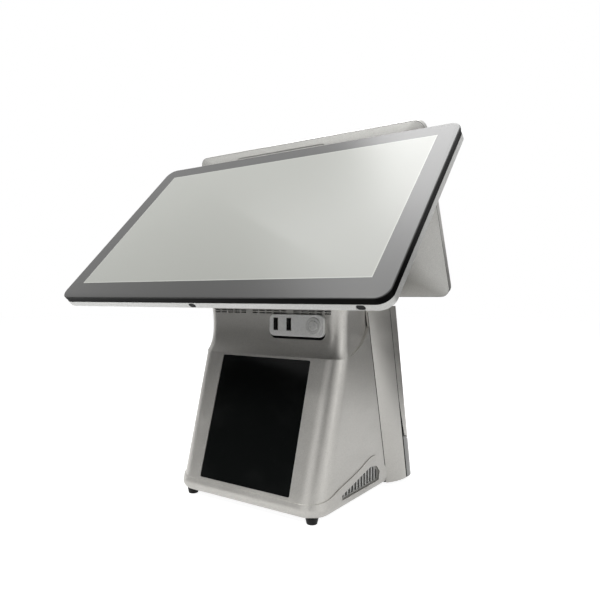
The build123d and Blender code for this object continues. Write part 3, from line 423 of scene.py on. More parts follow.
def set_shader(graph: Graph, shader: bpy.types.Node, **values: object) -> None:
    """Sets or joins the shader's inputs, named with underscores for spaces."""
    graph.put(shader, {name.replace("_", " "): value for name, value in values.items()})


def bump(graph: Graph, height: object, depth: float, strength: float = 1.0) -> bpy.types.NodeSocket:
    """Adds a Bump node of a depth in metres and returns its normal."""
    values = {"Height": height, "Distance": depth, "Strength": strength}
    return graph.add("ShaderNodeBump", values).outputs["Normal"]


# ---------------------------------------------------------------- finishes
@dataclass(frozen=True)
class SatinSilver:
    """Satin metallic lacquer over a moulded case."""

    name: str
    colour: Colour
    deep: Colour
    roughness: float = 0.36
    metallic: float = 0.75
    grain_scale: float = 3200.0
    grain_depth: float = 0.00002
    wear: float = 0.5
    wear_radius: float = 0.0007
    rubbed_colour: Colour = (0.72, 0.72, 0.70)
    dust: float = 0.12
    dust_colour: Colour = (0.55, 0.54, 0.52)
    flake_span: tuple[float, float] = (0.86, 1.1)
    smear_scale: float = 20.0
    smear_stretch: float = 2.5
    smear_roughness: float = 0.07
    flake_roughness: float = 0.05
    coat: float = 0.12
    coat_roughness: float = 0.22

    def build(self, effects: Effects) -> bpy.types.Material:
        """Builds the material.

        Args:
            effects: the shared node groups.

        Returns:
            The finished material.
        """
        material, graph, shader = start_material(self.name)
        grain = use_group(graph, effects.grain, Scale=self.grain_scale)
        marks = use_group(graph, effects.handling, Scale=self.smear_scale, Stretch=self.smear_stretch)
        worn = use_group(graph, effects.wear, Radius=self.wear_radius, Amount=self.wear)
        dust = use_group(graph, effects.dust, Amount=self.dust)
        flake = graph.ramp(grain.outputs["Fleck"], 0.0, 1.0, *self.flake_span)
        tone = graph.mix(marks.outputs["Tone"], self.deep, self.colour)
        flaked = graph.add(
            "ShaderNodeVectorMath", {0: tone, 1: flake}, operation="MULTIPLY"
        ).outputs[0]
        rubbed = graph.mix(worn.outputs["Mask"], flaked, self.rubbed_colour)
        dusty = graph.mix(dust.outputs["Mask"], rubbed, self.dust_colour)
        rough = graph.math("MULTIPLY_ADD", marks.outputs["Smear"], self.smear_roughness, self.roughness)
        rough = graph.math("MULTIPLY_ADD", grain.outputs["Fleck"], self.flake_roughness, rough)
        set_shader(
            graph, shader, Base_Color=dusty, Roughness=rough, Metallic=self.metallic,
            Normal=bump(graph, grain.outputs["Height"], self.grain_depth),
            Coat_Weight=self.coat, Coat_Roughness=self.coat_roughness,
        )
        return material


@dataclass(frozen=True)
class MouldedPlastic:
    """Dark moulded plastic or rubber with a fine grain, also used for near-black painted shade in seams and
    gaps.
    """

    name: str
    colour: Colour
    roughness: float
    grain_scale: float = 2400.0
    grain_depth: float = 0.00004
    wear: float = 0.3
    specular: float = 0.5
    wear_radius: float = 0.0006
    dust: float = 0.2
    dust_colour: Colour = (0.30, 0.29, 0.28)
    smear_scale: float = 35.0
    smear_roughness: float = -0.08

    def build(self, effects: Effects) -> bpy.types.Material:
        """Builds the material.

        Args:
            effects: the shared node groups.

        Returns:
            The finished material.
        """
        material, graph, shader = start_material(self.name)
        grain = use_group(graph, effects.grain, Scale=self.grain_scale)
        marks = use_group(graph, effects.handling, Scale=self.smear_scale, Stretch=1.0)
        worn = use_group(graph, effects.wear, Radius=self.wear_radius, Amount=self.wear)
        dust = use_group(graph, effects.dust, Amount=self.dust)
        tone = graph.mix(marks.outputs["Tone"], self.colour, toned(self.colour, 0.8))
        rubbed = graph.mix(worn.outputs["Mask"], tone, toned(self.colour, 1.6, 0.01))
        dusty = graph.mix(dust.outputs["Mask"], rubbed, self.dust_colour)
        rough = graph.math("MULTIPLY_ADD", marks.outputs["Smear"], self.smear_roughness, self.roughness)
        set_shader(
            graph, shader, Base_Color=dusty, Roughness=rough, Specular_IOR_Level=self.specular,
            Normal=bump(graph, grain.outputs["Height"], self.grain_depth),
        )
        return material


@dataclass(frozen=True)
class GlossPanel:
    """Polished plastic or glass with faint smears, specks and an even body colour."""

    name: str
    colour: Colour
    roughness: float = 0.05
    specular: float = 0.5
    smear_roughness: float = 0.10
    smear_lift: float = 0.004
    dust: float = 0.05
    dust_colour: Colour = (0.10, 0.10, 0.10)
    speck_scale: float = 900.0
    wave_scale: float = 30.0
    wave_depth: float = 0.00003

    def build(self, effects: Effects) -> bpy.types.Material:
        """Builds the material.

        Args:
            effects: the shared node groups.

        Returns:
            The finished material.
        """
        material, graph, shader = start_material(self.name)
        marks = use_group(graph, effects.handling, Scale=14.0, Stretch=1.6)
        dust = use_group(graph, effects.dust, Amount=self.dust)
        grit = graph.noise(object_place(graph), self.speck_scale, 1.0)
        specks = graph.ramp(grit, 0.76, 0.82, 0.0, 0.25)
        clean = graph.mix(marks.outputs["Smear"], self.colour, toned(self.colour, 1.0, self.smear_lift))
        dusty = graph.mix(graph.math("ADD", specks, dust.outputs["Mask"]), clean, self.dust_colour)
        rough = graph.math("MULTIPLY_ADD", marks.outputs["Smear"], self.smear_roughness, self.roughness)
        wave = graph.noise(object_place(graph), self.wave_scale, 1.0)
        set_shader(
            graph, shader, Base_Color=dusty, Roughness=rough, Specular_IOR_Level=self.specular,
            Normal=bump(graph, wave, self.wave_depth),
        )
        return material


@dataclass(frozen=True)
class CoverGlass:
    """Touch glass: a printed grey border round a pale display picture."""

    name: str
    centre: Point
    lean: float
    half_width: float
    half_height: float
    border: Colour = (0.020, 0.020, 0.019)
    picture: Colour = (0.262, 0.267, 0.246)
    margin_colour: Colour = (0.36, 0.365, 0.34)
    margin: float = 0.0010
    base_roughness: float = 0.33
    smear_roughness: float = 0.012
    edge_blur: float = 0.00012
    wave_scale: float = 18.0
    wave_depth: float = 0.00003

    def build(self, effects: Effects) -> bpy.types.Material:
        """Builds the material.

        Read in the glass's own plane, the picture is where neither |x| passes its half width nor
        |y| its half height, and the margin is where neither passes them by more than its width.

        Args:
            effects: the shared node groups.

        Returns:
            The finished material.
        """
        material, graph, shader = start_material(self.name)
        mapping = graph.add(
            "ShaderNodeMapping",
            {"Vector": object_place(graph), "Location": self.centre,
             "Rotation": (math.pi / 2 - self.lean, 0.0, 0.0)},
            vector_type="TEXTURE",
        ).outputs[0]
        parts = graph.add("ShaderNodeSeparateXYZ", {0: mapping})
        beyond_x = graph.math("SUBTRACT", graph.math("ABSOLUTE", parts.outputs["X"]), self.half_width)
        beyond_y = graph.math("SUBTRACT", graph.math("ABSOLUTE", parts.outputs["Y"]), self.half_height)
        beyond = graph.math("MAXIMUM", beyond_x, beyond_y)
        inside = graph.ramp(beyond, self.edge_blur, -self.edge_blur)
        in_margin = graph.ramp(beyond, self.margin + self.edge_blur, self.margin - self.edge_blur)
        marks = use_group(graph, effects.handling, Scale=12.0, Stretch=1.4)
        picture = graph.mix(marks.outputs["Tone"], self.picture, toned(self.picture, 1.03))
        printed = graph.mix(marks.outputs["Tone"], self.border, toned(self.border, 1.06))
        edged = graph.mix(in_margin, printed, self.margin_colour)
        colour = graph.mix(inside, edged, picture)
        smear = marks.outputs["Smear"]
        rough = graph.math("MULTIPLY_ADD", smear, self.smear_roughness, self.base_roughness)
        wave = graph.noise(object_place(graph), self.wave_scale, 1.0)
        set_shader(
            graph, shader, Base_Color=colour, Roughness=rough,
            Normal=bump(graph, wave, self.wave_depth),
        )
        return material


@dataclass(frozen=True)
class BrushedMetal:
    """Plated sheet, turned pins or anodised metal with fine drawn lines."""

    name: str
    colour: Colour
    roughness: float = 0.3
    line_scale: float = 2200.0
    stretch: Point = (0.06, 1.0, 1.0)
    line_depth: float = 0.000012
    line_roughness: float = 0.12
    smear_roughness: float = 0.08
    wear: float = 0.6
    wear_radius: float = 0.0004
    rubbed_colour: Colour = (0.85, 0.85, 0.83)

    def build(self, effects: Effects) -> bpy.types.Material:
        """Builds the material. The lines are noise stretched along one axis.

        Args:
            effects: the shared node groups.

        Returns:
            The finished material.
        """
        material, graph, shader = start_material(self.name)
        mapping = graph.add("ShaderNodeMapping", {"Vector": object_place(graph), "Scale": self.stretch})
        lines = graph.noise(mapping.outputs[0], self.line_scale, 3.0)
        marks = use_group(graph, effects.handling, Scale=45.0, Stretch=1.0)
        worn = use_group(graph, effects.wear, Radius=self.wear_radius, Amount=self.wear)
        drawn = graph.mix(graph.ramp(lines, *TONE_SPAN), toned(self.colour, 0.82), self.colour)
        rubbed = graph.mix(worn.outputs["Mask"], drawn, self.rubbed_colour)
        smoothest = self.roughness - self.line_roughness / 2
        rough = graph.math("MULTIPLY_ADD", lines, self.line_roughness, smoothest)
        rough = graph.math("MULTIPLY_ADD", marks.outputs["Smear"], self.smear_roughness, rough)
        set_shader(
            graph, shader, Base_Color=rubbed, Roughness=rough, Metallic=1.0,
            Normal=bump(graph, lines, self.line_depth),
        )
        return material


@dataclass(frozen=True)
class CircuitBoard:
    """Solder resist over copper tracks."""

    name: str
    resist: Colour = (0.012, 0.075, 0.030)
    track: Colour = (0.030, 0.16, 0.060)
    cell_scale: float = 260.0
    track_height: float = 0.00004
    roughness: float = 0.35
    smear_roughness: float = 0.15

    def build(self, effects: Effects) -> bpy.types.Material:
        """Builds the material. The tracks are the borders of a square cell pattern.

        Args:
            effects: the shared node groups.

        Returns:
            The finished material.
        """
        material, graph, shader = start_material(self.name)
        cells = graph.add(
            "ShaderNodeTexVoronoi", {"Vector": object_place(graph), "Scale": self.cell_scale},
            distance="CHEBYCHEV",
        ).outputs["Distance"]
        track = graph.ramp(cells, 0.42, 0.5)
        marks = use_group(graph, effects.handling, Scale=60.0, Stretch=1.0)
        colour = graph.mix(track, self.resist, self.track)
        rough = graph.math("MULTIPLY_ADD", marks.outputs["Smear"], self.smear_roughness, self.roughness)
        set_shader(
            graph, shader, Base_Color=colour, Roughness=rough,
            Normal=bump(graph, track, self.track_height),
        )
        return material


# ---------------------------------------------------------------- the terminal
def dress(material: bpy.types.Material, *nodes: str) -> None:
    """Gives CAD nodes a material in place of their own.

    Args:
        material: the finish.
        nodes: names of the nodes that wear it.
    """
    for name in nodes:
        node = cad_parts[name]
        node.data.materials.clear()
        node.data.materials.append(material)
        LOG.info("%s wears %s", name, material.name)


SHELL = SatinSilver("shell_silver", (0.56, 0.547, 0.516), (0.52, 0.508, 0.48), metallic=0.58)
REAR_COVER = SatinSilver("rear_cover_grey", (0.28, 0.28, 0.275), (0.25, 0.25, 0.245), metallic=0.4)
TRIM = SatinSilver("trim_silver", (0.78, 0.78, 0.76), (0.74, 0.74, 0.72), roughness=0.34, metallic=0.25)
# Light silver paint in part and painted light in part: the trim's silver made near white and without metal,
# standing in for the plate's bright reflection.
PLATE_PAINTED_LIGHT = SatinSilver("plate_silver_painted_light", (0.95, 0.95, 0.93), (0.92, 0.92, 0.90), roughness=0.34, metallic=0.0)
SEAM = MouldedPlastic("seam_shadow", (0.02, 0.02, 0.02), 0.6, specular=0.2)
# Painted shade: near-black finish laid in the gaps round the port plate and the covers, where shadow falls.
GAP_SHADE = MouldedPlastic("painted_gap_shade", (0.003, 0.003, 0.003), 0.8, specular=0.1)
# Painted shade: the tongues are near-black so that each socket mouth reads as dark as its shaded inside.
TONGUE_PAINTED_SHADE = MouldedPlastic("tongue_black_painted_shade", (0.006, 0.006, 0.006), 0.5, specular=0.2)
BACK = SatinSilver("back_graphite", (0.055, 0.055, 0.055), (0.045, 0.045, 0.045), metallic=0.3)
CAP = SatinSilver("button_silver", (0.88, 0.88, 0.86), (0.84, 0.84, 0.82), roughness=0.28, metallic=0.1)
CASE = SatinSilver("case_silver", (0.57, 0.565, 0.54), (0.53, 0.525, 0.50), metallic=0.40)
VENT = SatinSilver("vent_grey", (0.62, 0.62, 0.60), (0.56, 0.56, 0.54), roughness=0.42, metallic=0.3)
RUBBER = MouldedPlastic("foot_rubber", (0.006, 0.006, 0.006), 0.55, 1500.0, 0.00006, specular=0.2)
BLACK_PLASTIC = MouldedPlastic("black_plastic", (0.02, 0.02, 0.022), 0.42)
POWDER_COAT = MouldedPlastic("powder_coat", (0.035, 0.035, 0.038), 0.5, 1200.0, 0.00008)
LCD_PLATE = MouldedPlastic("panel_grey", (0.22, 0.22, 0.22), 0.4)
WINDOW = GlossPanel("window_black", (0.0058, 0.0066, 0.0064), roughness=0.09, specular=0.10)
BAND = GlossPanel("band_black", (0.0015, 0.0015, 0.0015), roughness=0.30, specular=0.02)
SHEET_STEEL = BrushedMetal("sheet_steel", (0.55, 0.55, 0.54), 0.34)
PIN_STEEL = BrushedMetal("pin_steel", (0.66, 0.66, 0.65), 0.22, stretch=(1.0, 0.1, 0.1))
SOCKET_STEEL = BrushedMetal("socket_steel", (0.68, 0.67, 0.64), 0.26)
ANODISED = BrushedMetal("anodised_fins", (0.60, 0.60, 0.62), 0.4)
BRASS = BrushedMetal("turned_brass", (0.72, 0.53, 0.22), 0.25)
BOARD = CircuitBoard("circuit_board")


@dataclass
class Course:
    """Way of an oval bead up the pedestal's side, with one value for each ring."""

    side: np.ndarray
    middle: np.ndarray
    half_width: np.ndarray
    height: np.ndarray


@dataclass
class Pedestal:
    """Base of the terminal: shells, covers, vents, window and everything inside."""

    shells: tuple[str, ...] = ("base_front_shell", "base_rear_shell", "rear_cover")
    covers: tuple[str, ...] = ("cable_cover",)
    skirt_proud: float = 0.9 * MILLIMETRE
    underside_round: float = 8.0 * MILLIMETRE
    ridge_end_drop: float = 6.2 * MILLIMETRE
    seam_thick: float = 0.15 * MILLIMETRE
    seam_wide: float = 0.85 * MILLIMETRE
    hip_taper: float = 4.8 * MILLIMETRE
    cover_gap: float = 1.3 * MILLIMETRE
    panel_gap: float = 0.4 * MILLIMETRE
    wedge_wide: float = 2.8 * MILLIMETRE
    wedge_height: float = 42.0 * MILLIMETRE
    bead_points: int = 12
    seam_rings: int = 24
    shadow_rings: int = 80

    def dress(self, effects: Effects) -> None:
        """Gives every node of the base its finish.

        Args:
            effects: the shared node groups.
        """
        dress(SHELL.build(effects), *self.shells)
        dress(REAR_COVER.build(effects), *self.covers)
        dress(VENT.build(effects), "side_vent_right", "side_vent_left")
        dress(WINDOW.build(effects), "front_window")
        dress(POWDER_COAT.build(effects), "base_plate")
        dress(RUBBER.build(effects), "rubber_feet", "accessory_plugs")
        dress(SHEET_STEEL.build(effects), "chassis_right", "chassis_left", "storage_drive",
              "stand_bracket_right", "stand_bracket_left", "main_arm_right", "main_arm_left",
              "customer_arm_right", "customer_arm_left", "rear_sockets", "display_tray")
        dress(BOARD.build(effects), "port_board", "main_board", "touch_board", "customer_board")
        dress(ANODISED.build(effects), "heat_sink")
        dress(BRASS.build(effects), "board_posts")
        dress(PIN_STEEL.build(effects), "main_hinge_shafts", "customer_hinge_shafts",
              "hinge_washers", "main_arm_screws", "customer_arm_screws")
        dress(BLACK_PLASTIC.build(effects), "speaker", "power_switch")

    def side_beads(self, name: str, course: Course, slot: str, finish: bpy.types.Material) -> None:
        """Lays a thin oval bead up each side of the pedestal.

        At each height its section is an ellipse about a middle point: x is the side's x plus the
        bead's thickness times the cosine of a turn, and y is the middle's y plus the bead's half
        width times its sine. The left bead has -x.

        Args:
            name: the pieces' name, which their side follows.
            course: the beads' way up the right side.
            slot: the record's material slot.
            finish: the beads' material.
        """
        turn = np.linspace(0.0, 2 * np.pi, self.bead_points, endpoint=False)
        for side, sign in SIDES:
            x = sign * (course.side[:, None] + self.seam_thick * np.cos(turn))
            y = course.middle[:, None] + course.half_width[:, None] * np.sin(turn)
            rings = np.stack(np.broadcast_arrays(x, y, course.height[:, None]), axis=-1)
            build_piece(f"{name}_{side}", rings, False, Body.BASE, slot, finish)

    def seam_lines(self, effects: Effects) -> None:
        """Shadow lines where the front and rear shells meet, one on each side.

        They are beads of even width along the straight seam, from the underside's round up to the
        ridge's end.

        Args:
            effects: the shared node groups.
        """
        (_, _, floor), (front_x, seam_low_y, top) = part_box("base_front_shell")
        seam_top_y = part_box("base_rear_shell")[0][1]
        slope = (seam_top_y - seam_low_y) / (top - floor)
        heights = np.linspace(floor + self.underside_round, top - self.ridge_end_drop, self.seam_rings)
        course = Course(
            side=np.full_like(heights, front_x - self.skirt_proud),
            middle=seam_low_y + (heights - floor) * slope,
            half_width=np.full_like(heights, self.seam_wide),
            height=heights,
        )
        self.side_beads("seam_line", course, "front_shell", SEAM.build(effects))

    def cover_shadows(self, effects: Effects) -> None:
        """Dark gap between the rear shell and the covers, one on each side.

        They are beads along the straight gap, behind its front edge. Their half width is the cable
        cover's gap up to that cover's top. There it widens to the wedge's, and then falls evenly
        to the panel's gap.

        Args:
            effects: the shared node groups.
        """
        (_, _, floor), (hip, gap_low_y, top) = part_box("base_rear_shell")
        gap_top_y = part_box("rear_cover")[0][1]
        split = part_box("cable_cover")[1][2]
        heights = np.linspace(floor + self.seam_wide, top - self.seam_wide, self.shadow_rings)
        share = (heights - floor) / (top - floor)
        steps = [floor, split - self.cover_gap, split, split + self.wedge_height]
        half_widths = [self.cover_gap, self.cover_gap, self.wedge_wide, self.panel_gap]
        wide = np.interp(heights, steps, half_widths)
        course = Course(
            side=hip - self.hip_taper * share,
            middle=gap_low_y + (gap_top_y - gap_low_y) * share + wide,
            half_width=wide,
            height=heights,
        )
        # Painted shade: the beads stand in for the shadow in the gap, not for rubber.
        self.side_beads("cover_shadow", course, "rubber", GAP_SHADE.build(effects))


@dataclass
class PortPlate:
    """Silver plate with two sockets and the power button."""

    corner: float = 6.0 * MILLIMETRE
    flange: float = 3.5 * MILLIMETRE
    gap_below: float = 2.6 * MILLIMETRE
    side_gap: float = 0.3 * MILLIMETRE
    proud: float = 3.0 * MILLIMETRE
    strip_sunk: float = 0.9 * MILLIMETRE
    strip_depth: float = 1.6 * MILLIMETRE
    hair: float = 0.02 * MILLIMETRE

    def gap_shade(self, effects: Effects) -> None:
        """Painted shade: a near-black band in the gap round the plate, standing in for the shadow there.

        It is a band between two rounded rectangles, the plate's outline and the opening's, which
        hangs lower by the gap. Front and back copies of both make a closed ring.

        Args:
            effects: the shared node groups.
        """
        (low_x, front_y, low_z), (high_x, _, high_z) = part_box("port_plate")
        width = high_x - low_x - 2 * self.flange
        height = high_z - low_z - 2 * self.flange - self.gap_below
        inner = rounded_rectangle(width + 2 * self.hair, height + 2 * self.hair, self.corner)
        outer_width = width + 2 * self.side_gap - 2 * self.hair
        outer_height = height + 2 * self.side_gap + self.gap_below - 2 * self.hair
        outer = rounded_rectangle(outer_width, outer_height, self.corner)
        outer = outer - np.array([0.0, self.gap_below / 2])
        origin = ((low_x + high_x) / 2, front_y + self.proud + self.strip_sunk, high_z - height / 2)
        facing = Leaning(origin, ACROSS, (0.0, 0.0, 1.0))
        rings = np.stack([
            facing.place(inner, 0.0), facing.place(outer, 0.0),
            facing.place(outer, -self.strip_depth), facing.place(inner, -self.strip_depth),
        ])
        # The band is painted shade, not foam or rubber.
        build_piece("port_gap_shade", rings, True, Body.BASE, "rubber", GAP_SHADE.build(effects))

    def dress(self, effects: Effects) -> None:
        """Gives the plate, sockets, ring and cap their finishes.

        Args:
            effects: the shared node groups.
        """
        dress(TRIM.build(effects), "button_ring", "display_rim")
        dress(PLATE_PAINTED_LIGHT.build(effects), "port_plate")
        dress(SOCKET_STEEL.build(effects), "usb_shells")
        # Near-black tongues as painted shade inside the sockets.
        dress(TONGUE_PAINTED_SHADE.build(effects), "usb_tongues")
        dress(CAP.build(effects), "power_button")


@dataclass
class MainDisplay:
    """Touch display: cover glass, black band, silver rim and back cover."""

    lean: float = math.radians(44.0)
    width: float = 385.5 * MILLIMETRE
    height: float = 228.7 * MILLIMETRE
    corner: float = 12.0 * MILLIMETRE
    glass_thickness: float = 3.0 * MILLIMETRE
    glass_round: float = 0.8 * MILLIMETRE
    side_border: float = 20.65 * MILLIMETRE
    low_border: float = 22.6 * MILLIMETRE
    picture_height: float = 187.5 * MILLIMETRE
    rim_level: float = -13.0 * MILLIMETRE
    flat_level: float = -32.0 * MILLIMETRE
    flat_inset: float = 50.0 * MILLIMETRE
    corner_growth: float = 0.28
    cushion_power: float = 1.3
    cushion_edge: float = 0.5 * MILLIMETRE
    cushion_rings: int = 22
    glass_rings: int = 6

    @property
    def up(self) -> Point:
        """Direction up the glass's slope."""
        return (0.0, math.sin(self.lean), math.cos(self.lean))

    @property
    def lip(self) -> Point:
        """Middle of the glass's lower front edge, from the far corners of its box.

        Returns:
            The point.
        """
        low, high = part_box("touch_glass")
        back = high[1] - self.glass_thickness * math.cos(self.lean)
        return (
            0.0,
            back - self.height * math.sin(self.lean),
            low[2] + self.glass_thickness * math.sin(self.lean),
        )

    def plane_at(self, up_slope: float) -> Leaning:
        """Plane of the glass's face, with its origin at a height up the slope."""
        origin = tuple(np.array(self.lip) + up_slope * np.array(self.up))
        return Leaning(origin, ACROSS, self.up)

    def outline(self, inset: float, corner: float) -> np.ndarray:
        """The display's outline, moved in by an inset, with a corner radius of its own."""
        return rounded_rectangle(self.width - 2 * inset, self.height - 2 * inset, corner)

    def glass(self, effects: Effects) -> None:
        """Cover glass: a flat face, a quarter-circle edge and a black side.

        Its rings are the outline moved in by r (1 - sin a) at the level -r (1 - cos a), for a
        from 0 to a right angle, and then the straight side down to the back.

        Args:
            effects: the shared node groups.
        """
        plane = self.plane_at(self.height / 2)
        turn = np.linspace(0.0, np.pi / 2, self.glass_rings)
        steps = list(zip(self.glass_round * (1 - np.sin(turn)), -self.glass_round * (1 - np.cos(turn))))
        steps.append((0.0, -self.glass_thickness))
        rings = np.stack([
            plane.place(self.outline(inset, self.corner - inset), level) for inset, level in steps
        ])
        piece = build_piece(
            "cover_glass", rings, False, Body.MAIN_DISPLAY, "touch_glass",
            self.glass_finish().build(effects), BAND.build(effects),
        )
        black = np.zeros(len(piece.data.polygons), dtype=np.int32)
        point_count = rings.shape[1]
        side_start = point_count * (len(steps) - 2)
        black[side_start:side_start + point_count] = 1
        black[-1] = 1
        piece.data.polygons.foreach_set("material_index", black)
        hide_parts("touch_glass")

    def back_cover(self, effects: Effects) -> None:
        """Cushion-shaped back cover, curving away from the rim to a flat middle.

        At a share s of the way in, the outline is moved in by s times the flat's inset, and the
        level falls from the rim to the flat by (1 - (1 - s) ^ p) ^ (1 / p).

        Args:
            effects: the shared node groups.
        """
        plane = self.plane_at(self.height / 2)
        shares = 1 - np.cos(np.linspace(0.0, np.pi / 2, self.cushion_rings))
        power = self.cushion_power
        drops = (1 - (1 - shares) ** power) ** (1 / power)
        levels = self.rim_level + (self.flat_level - self.rim_level) * drops
        insets = self.cushion_edge + shares * self.flat_inset
        corners = self.corner - self.cushion_edge + shares * self.flat_inset * self.corner_growth
        rings = np.stack([
            plane.place(self.outline(inset, corner), level)
            for inset, corner, level in zip(insets, corners, levels)
        ])
        cover = build_piece(
            "display_back", rings, False, Body.MAIN_DISPLAY, "display_back", BACK.build(effects)
        )
        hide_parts("display_back_cover")

    def glass_finish(self) -> CoverGlass:
        """Works out the picture's place on the glass.

        Returns:
            The finish of the touch glass.
        """
        centre = self.plane_at(self.low_border + self.picture_height / 2).origin
        half_width = self.width / 2 - self.side_border
        return CoverGlass("touch_glass_face", centre, self.lean, half_width, self.picture_height / 2)

    def dress(self, effects: Effects) -> None:
        """Gives the display's nodes their finishes."""
        dress(BAND.build(effects), "display_band")
        dress(LCD_PLATE.build(effects), "lcd_panel", "customer_lcd")


@dataclass
class CustomerDisplay:
    """Smaller display that faces the customer."""

    lean: float = math.radians(24.4)
    width: float = 300.0 * MILLIMETRE
    height: float = 191.5 * MILLIMETRE
    corner: float = 11.0 * MILLIMETRE
    case_level: float = -8.0 * MILLIMETRE
    border: float = 14.0 * MILLIMETRE
    line_thick: float = 0.12 * MILLIMETRE
    line_wide: float = 0.30 * MILLIMETRE
    line_rings: int = 10

    def plane(self) -> Leaning:
        """Plane of the glass's face about its middle, from the bezel's box.

        Returns:
            The plane, facing the customer.
        """
        low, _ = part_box("customer_bezel")
        sine, cosine = math.sin(self.lean), math.cos(self.lean)
        lip = (0.0, low[1] + self.height * sine - self.case_level * cosine, low[2] - self.case_level * sine)
        origin = tuple(np.array(lip) + self.height / 2 * np.array([0.0, -sine, cosine]))
        return Leaning(origin, (-1.0, 0.0, 0.0), (0.0, -sine, cosine))

    def glass_finish(self) -> CoverGlass:
        """Finish of the customer's glass: a black border round a dark panel.

        Returns:
            The finish.
        """
        half_width = self.width / 2 - self.border
        half_height = self.height / 2 - self.border
        return CoverGlass(
            "customer_glass_face", self.plane().origin, -self.lean, half_width, half_height,
            border=(0.004, 0.004, 0.004), picture=(0.035, 0.036, 0.038),
            margin_colour=(0.01, 0.01, 0.01), base_roughness=0.10,
        )

    def parting_line(self, effects: Effects) -> None:
        """Shadow line between the bezel and the case.

        Its section is an ellipse, thin across the case's edge and wider along its depth, carried
        round the display's outline.

        Args:
            effects: the shared node groups.
        """
        plane = self.plane()
        turn = np.linspace(0.0, 2 * np.pi, self.line_rings, endpoint=False)
        rings = np.stack([
            plane.place(
                rounded_rectangle(self.width + 2 * proud, self.height + 2 * proud, self.corner + proud),
                level,
            )
            for proud, level in zip(
                self.line_thick * np.cos(turn), self.case_level + self.line_wide * np.sin(turn)
            )
        ])
        build_piece(
            "customer_parting_line", rings, True, Body.CUSTOMER_DISPLAY, "rear_shell", SEAM.build(effects)
        )

    def dress(self, effects: Effects) -> None:
        """Gives the display's nodes their finishes."""
        dress(CASE.build(effects), "customer_back_cover", "customer_lid", "customer_bezel")
        dress(self.glass_finish().build(effects), "customer_glass")


# ---------------------------------------------------------------- studio
@dataclass
class Softbox:
    """Rectangular light aimed at a point."""

    name: str
    place: Point
    size: tuple[float, float]
    power: float
    aim: Point = (0.0, 0.0, 0.2)

    def build(self) -> bpy.types.Object:
        """Adds the light.

        Returns:
            The lamp, turned to its aim.
        """
        light = bpy.data.lights.new(self.name, "AREA")
        light.shape = "RECTANGLE"
        light.size, light.size_y = self.size
        light.energy = self.power
        lamp = bpy.data.objects.new(self.name, light)
        bpy.context.scene.collection.objects.link(lamp)
        direction = Vector(self.aim) - Vector(self.place)
        lamp.location = self.place
        lamp.rotation_euler = direction.to_track_quat("-Z", "Y").to_euler()
        return lamp


@dataclass
class Flag:
    """Dark upright card beside the camera's view, seen only in reflections."""

    name: str
    azimuth: float
    distance: float
    width: float
    low: float
    high: float
    shade: float = 0.02

    def build(self) -> bpy.types.Object:
        """Builds the card: a flat grid across the direction at its azimuth.

        Returns:
            The card, seen only in reflections.
        """
        turn = math.radians(self.azimuth)
        outward = np.array([math.sin(turn), -math.cos(turn), 0.0])
        across = np.array([math.cos(turn), math.sin(turn), 0.0])
        corners = np.array([[-0.5, self.low], [0.5, self.low], [0.5, self.high], [-0.5, self.high]])
        points = outward * self.distance + corners[:, :1] * self.width * across
        points[:, 2] = corners[:, 1]
        mesh = bpy.data.meshes.new(self.name)
        mesh.from_pydata(points.tolist(), [], [(0, 1, 2, 3)])
        card = bpy.data.objects.new(self.name, mesh)
        bpy.context.scene.collection.objects.link(card)
        material, graph, shader = start_material(self.name)
        shade = (self.shade, self.shade, self.shade, 1.0)
        set_shader(graph, shader, Base_Color=shade, Roughness=1.0, Specular_IOR_Level=0.0)
        mesh.materials.append(material)
        card.visible_camera = False
        card.visible_shadow = False
        card.visible_diffuse = False
        return card


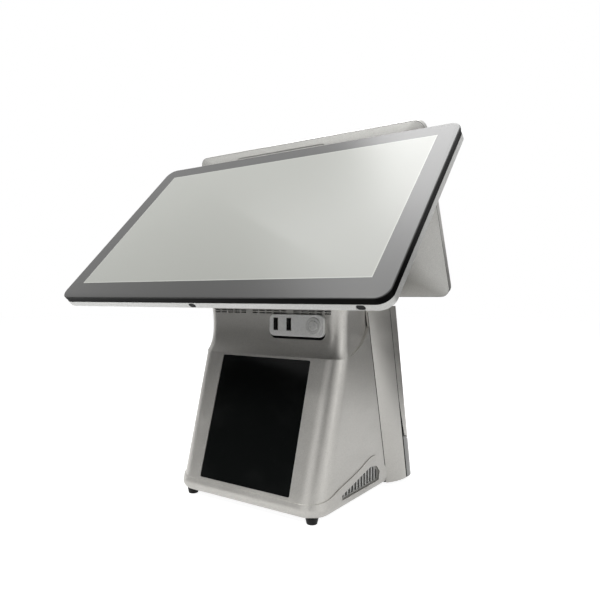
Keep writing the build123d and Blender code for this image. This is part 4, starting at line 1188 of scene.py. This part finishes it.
@dataclass
class Studio:
    """Pale floor, white surroundings and soft lights."""

    floor_size: float = 12.0
    floor_shade: float = 0.45
    floor_glow: float = 0.95
    floor_roughness: float = 0.9
    fill_strength: float = 0.10
    softboxes: list[Softbox] = field(default_factory=lambda: [
        Softbox("glare_box", (-0.15, 0.43, 1.65), (0.66, 0.80), 8.6, (0.0, -0.05, 0.3)),
        Softbox("top_box", (-0.40, -0.12, 1.62), (0.70, 0.9), 7.0),
        Softbox("front_box", (-0.30, -1.05, 1.5), (0.9, 0.9), 26.0),
        Softbox("right_box", (1.9, -0.30, 0.75), (0.30, 1.3), 3.4),
        Softbox("back_box", (-0.9, 1.8, 1.2), (1.0, 1.0), 12.0),
    ])
    flags: list[Flag] = field(default_factory=lambda: [
        Flag("camera_flag", 34.0, 1.6, 0.8, 0.0, 1.4),
        Flag("left_flag", -38.0, 0.55, 0.75, 0.0, 0.33),
        Flag("back_flag", 158.0, 0.75, 1.05, 0.0, 0.32),
    ])

    def surroundings(self) -> None:
        """White to the camera, to gloss and to glass, and softer as fill light."""
        world = bpy.data.worlds.new("surroundings")
        bpy.context.scene.world = world
        world.use_nodes = True
        graph = Graph(world.node_tree)
        seen = seen_directly(graph, "Is Transmission Ray")
        strength = graph.ramp(seen, 0.0, 1.0, self.fill_strength, 1.0)
        graph.put(world.node_tree.nodes["Background"], {"Strength": strength, "Color": WHITE})

    def floor(self) -> None:
        """A pale floor that stays near white and keeps the object's shadow."""
        side = self.floor_size / 2
        mesh = bpy.data.meshes.new("studio_floor")
        mesh.from_pydata(
            [(-side, -side, 0.0), (side, -side, 0.0), (side, side, 0.0), (-side, side, 0.0)],
            [], [(0, 1, 2, 3)],
        )
        floor = bpy.data.objects.new("studio_floor", mesh)
        bpy.context.scene.collection.objects.link(floor)
        material, graph, shader = start_material("floor_white")
        glow = graph.math("MULTIPLY", seen_directly(graph), self.floor_glow)
        shade = (self.floor_shade, self.floor_shade, self.floor_shade, 1.0)
        set_shader(
            graph, shader, Base_Color=shade, Roughness=self.floor_roughness,
            Specular_IOR_Level=0.0, Emission_Color=WHITE, Emission_Strength=glow,
        )
        mesh.materials.append(material)

    def build(self) -> None:
        """Builds the whole studio."""
        self.surroundings()
        self.floor()
        for softbox in self.softboxes:
            softbox.build()
        for flag in self.flags:
            flag.build()


@dataclass
class Viewpoint:
    """Camera in front of the terminal, to its right and level with the display's lower edge."""

    place: Point = (0.36633, -0.50366, 0.20986)
    yaw: float = math.radians(34.149)
    pitch: float = math.radians(-0.141)
    roll: float = math.radians(0.208)
    focal_share: float = 0.9552
    sensor: float = 36.0
    nearest: float = 0.01

    def build(self) -> None:
        """Adds the camera: turned by yaw about +Z, raised by pitch and rolled about its axis."""
        data = bpy.data.cameras.new("viewpoint")
        data.sensor_width = self.sensor
        data.lens = self.sensor * self.focal_share
        data.clip_start = self.nearest
        camera = bpy.data.objects.new("viewpoint", data)
        bpy.context.scene.collection.objects.link(camera)
        turn = Matrix.Rotation(self.yaw, 4, "Z") @ Matrix.Rotation(math.pi / 2 + self.pitch, 4, "X")
        camera.matrix_world = Matrix.Translation(self.place) @ turn @ Matrix.Rotation(self.roll, 4, "Z")
        bpy.context.scene.camera = camera


def main() -> None:
    """Builds the finishes, dresses each sub-assembly and sets up the studio."""
    logging.basicConfig(level=logging.INFO, format="%(name)s: %(message)s")
    bpy.context.scene.view_settings.view_transform = "Standard"
    effects = Effects()
    pedestal, port_plate = Pedestal(), PortPlate()
    main_display, customer_display = MainDisplay(), CustomerDisplay()
    for part in (pedestal, port_plate, main_display, customer_display):
        part.dress(effects)
        LOG.info("%s dressed", type(part).__name__)
    pedestal.seam_lines(effects)
    pedestal.cover_shadows(effects)
    port_plate.gap_shade(effects)
    main_display.glass(effects)
    main_display.back_cover(effects)
    customer_display.parting_line(effects)
    Studio().build()
    Viewpoint().build()


if __name__ == "__main__":
    main()
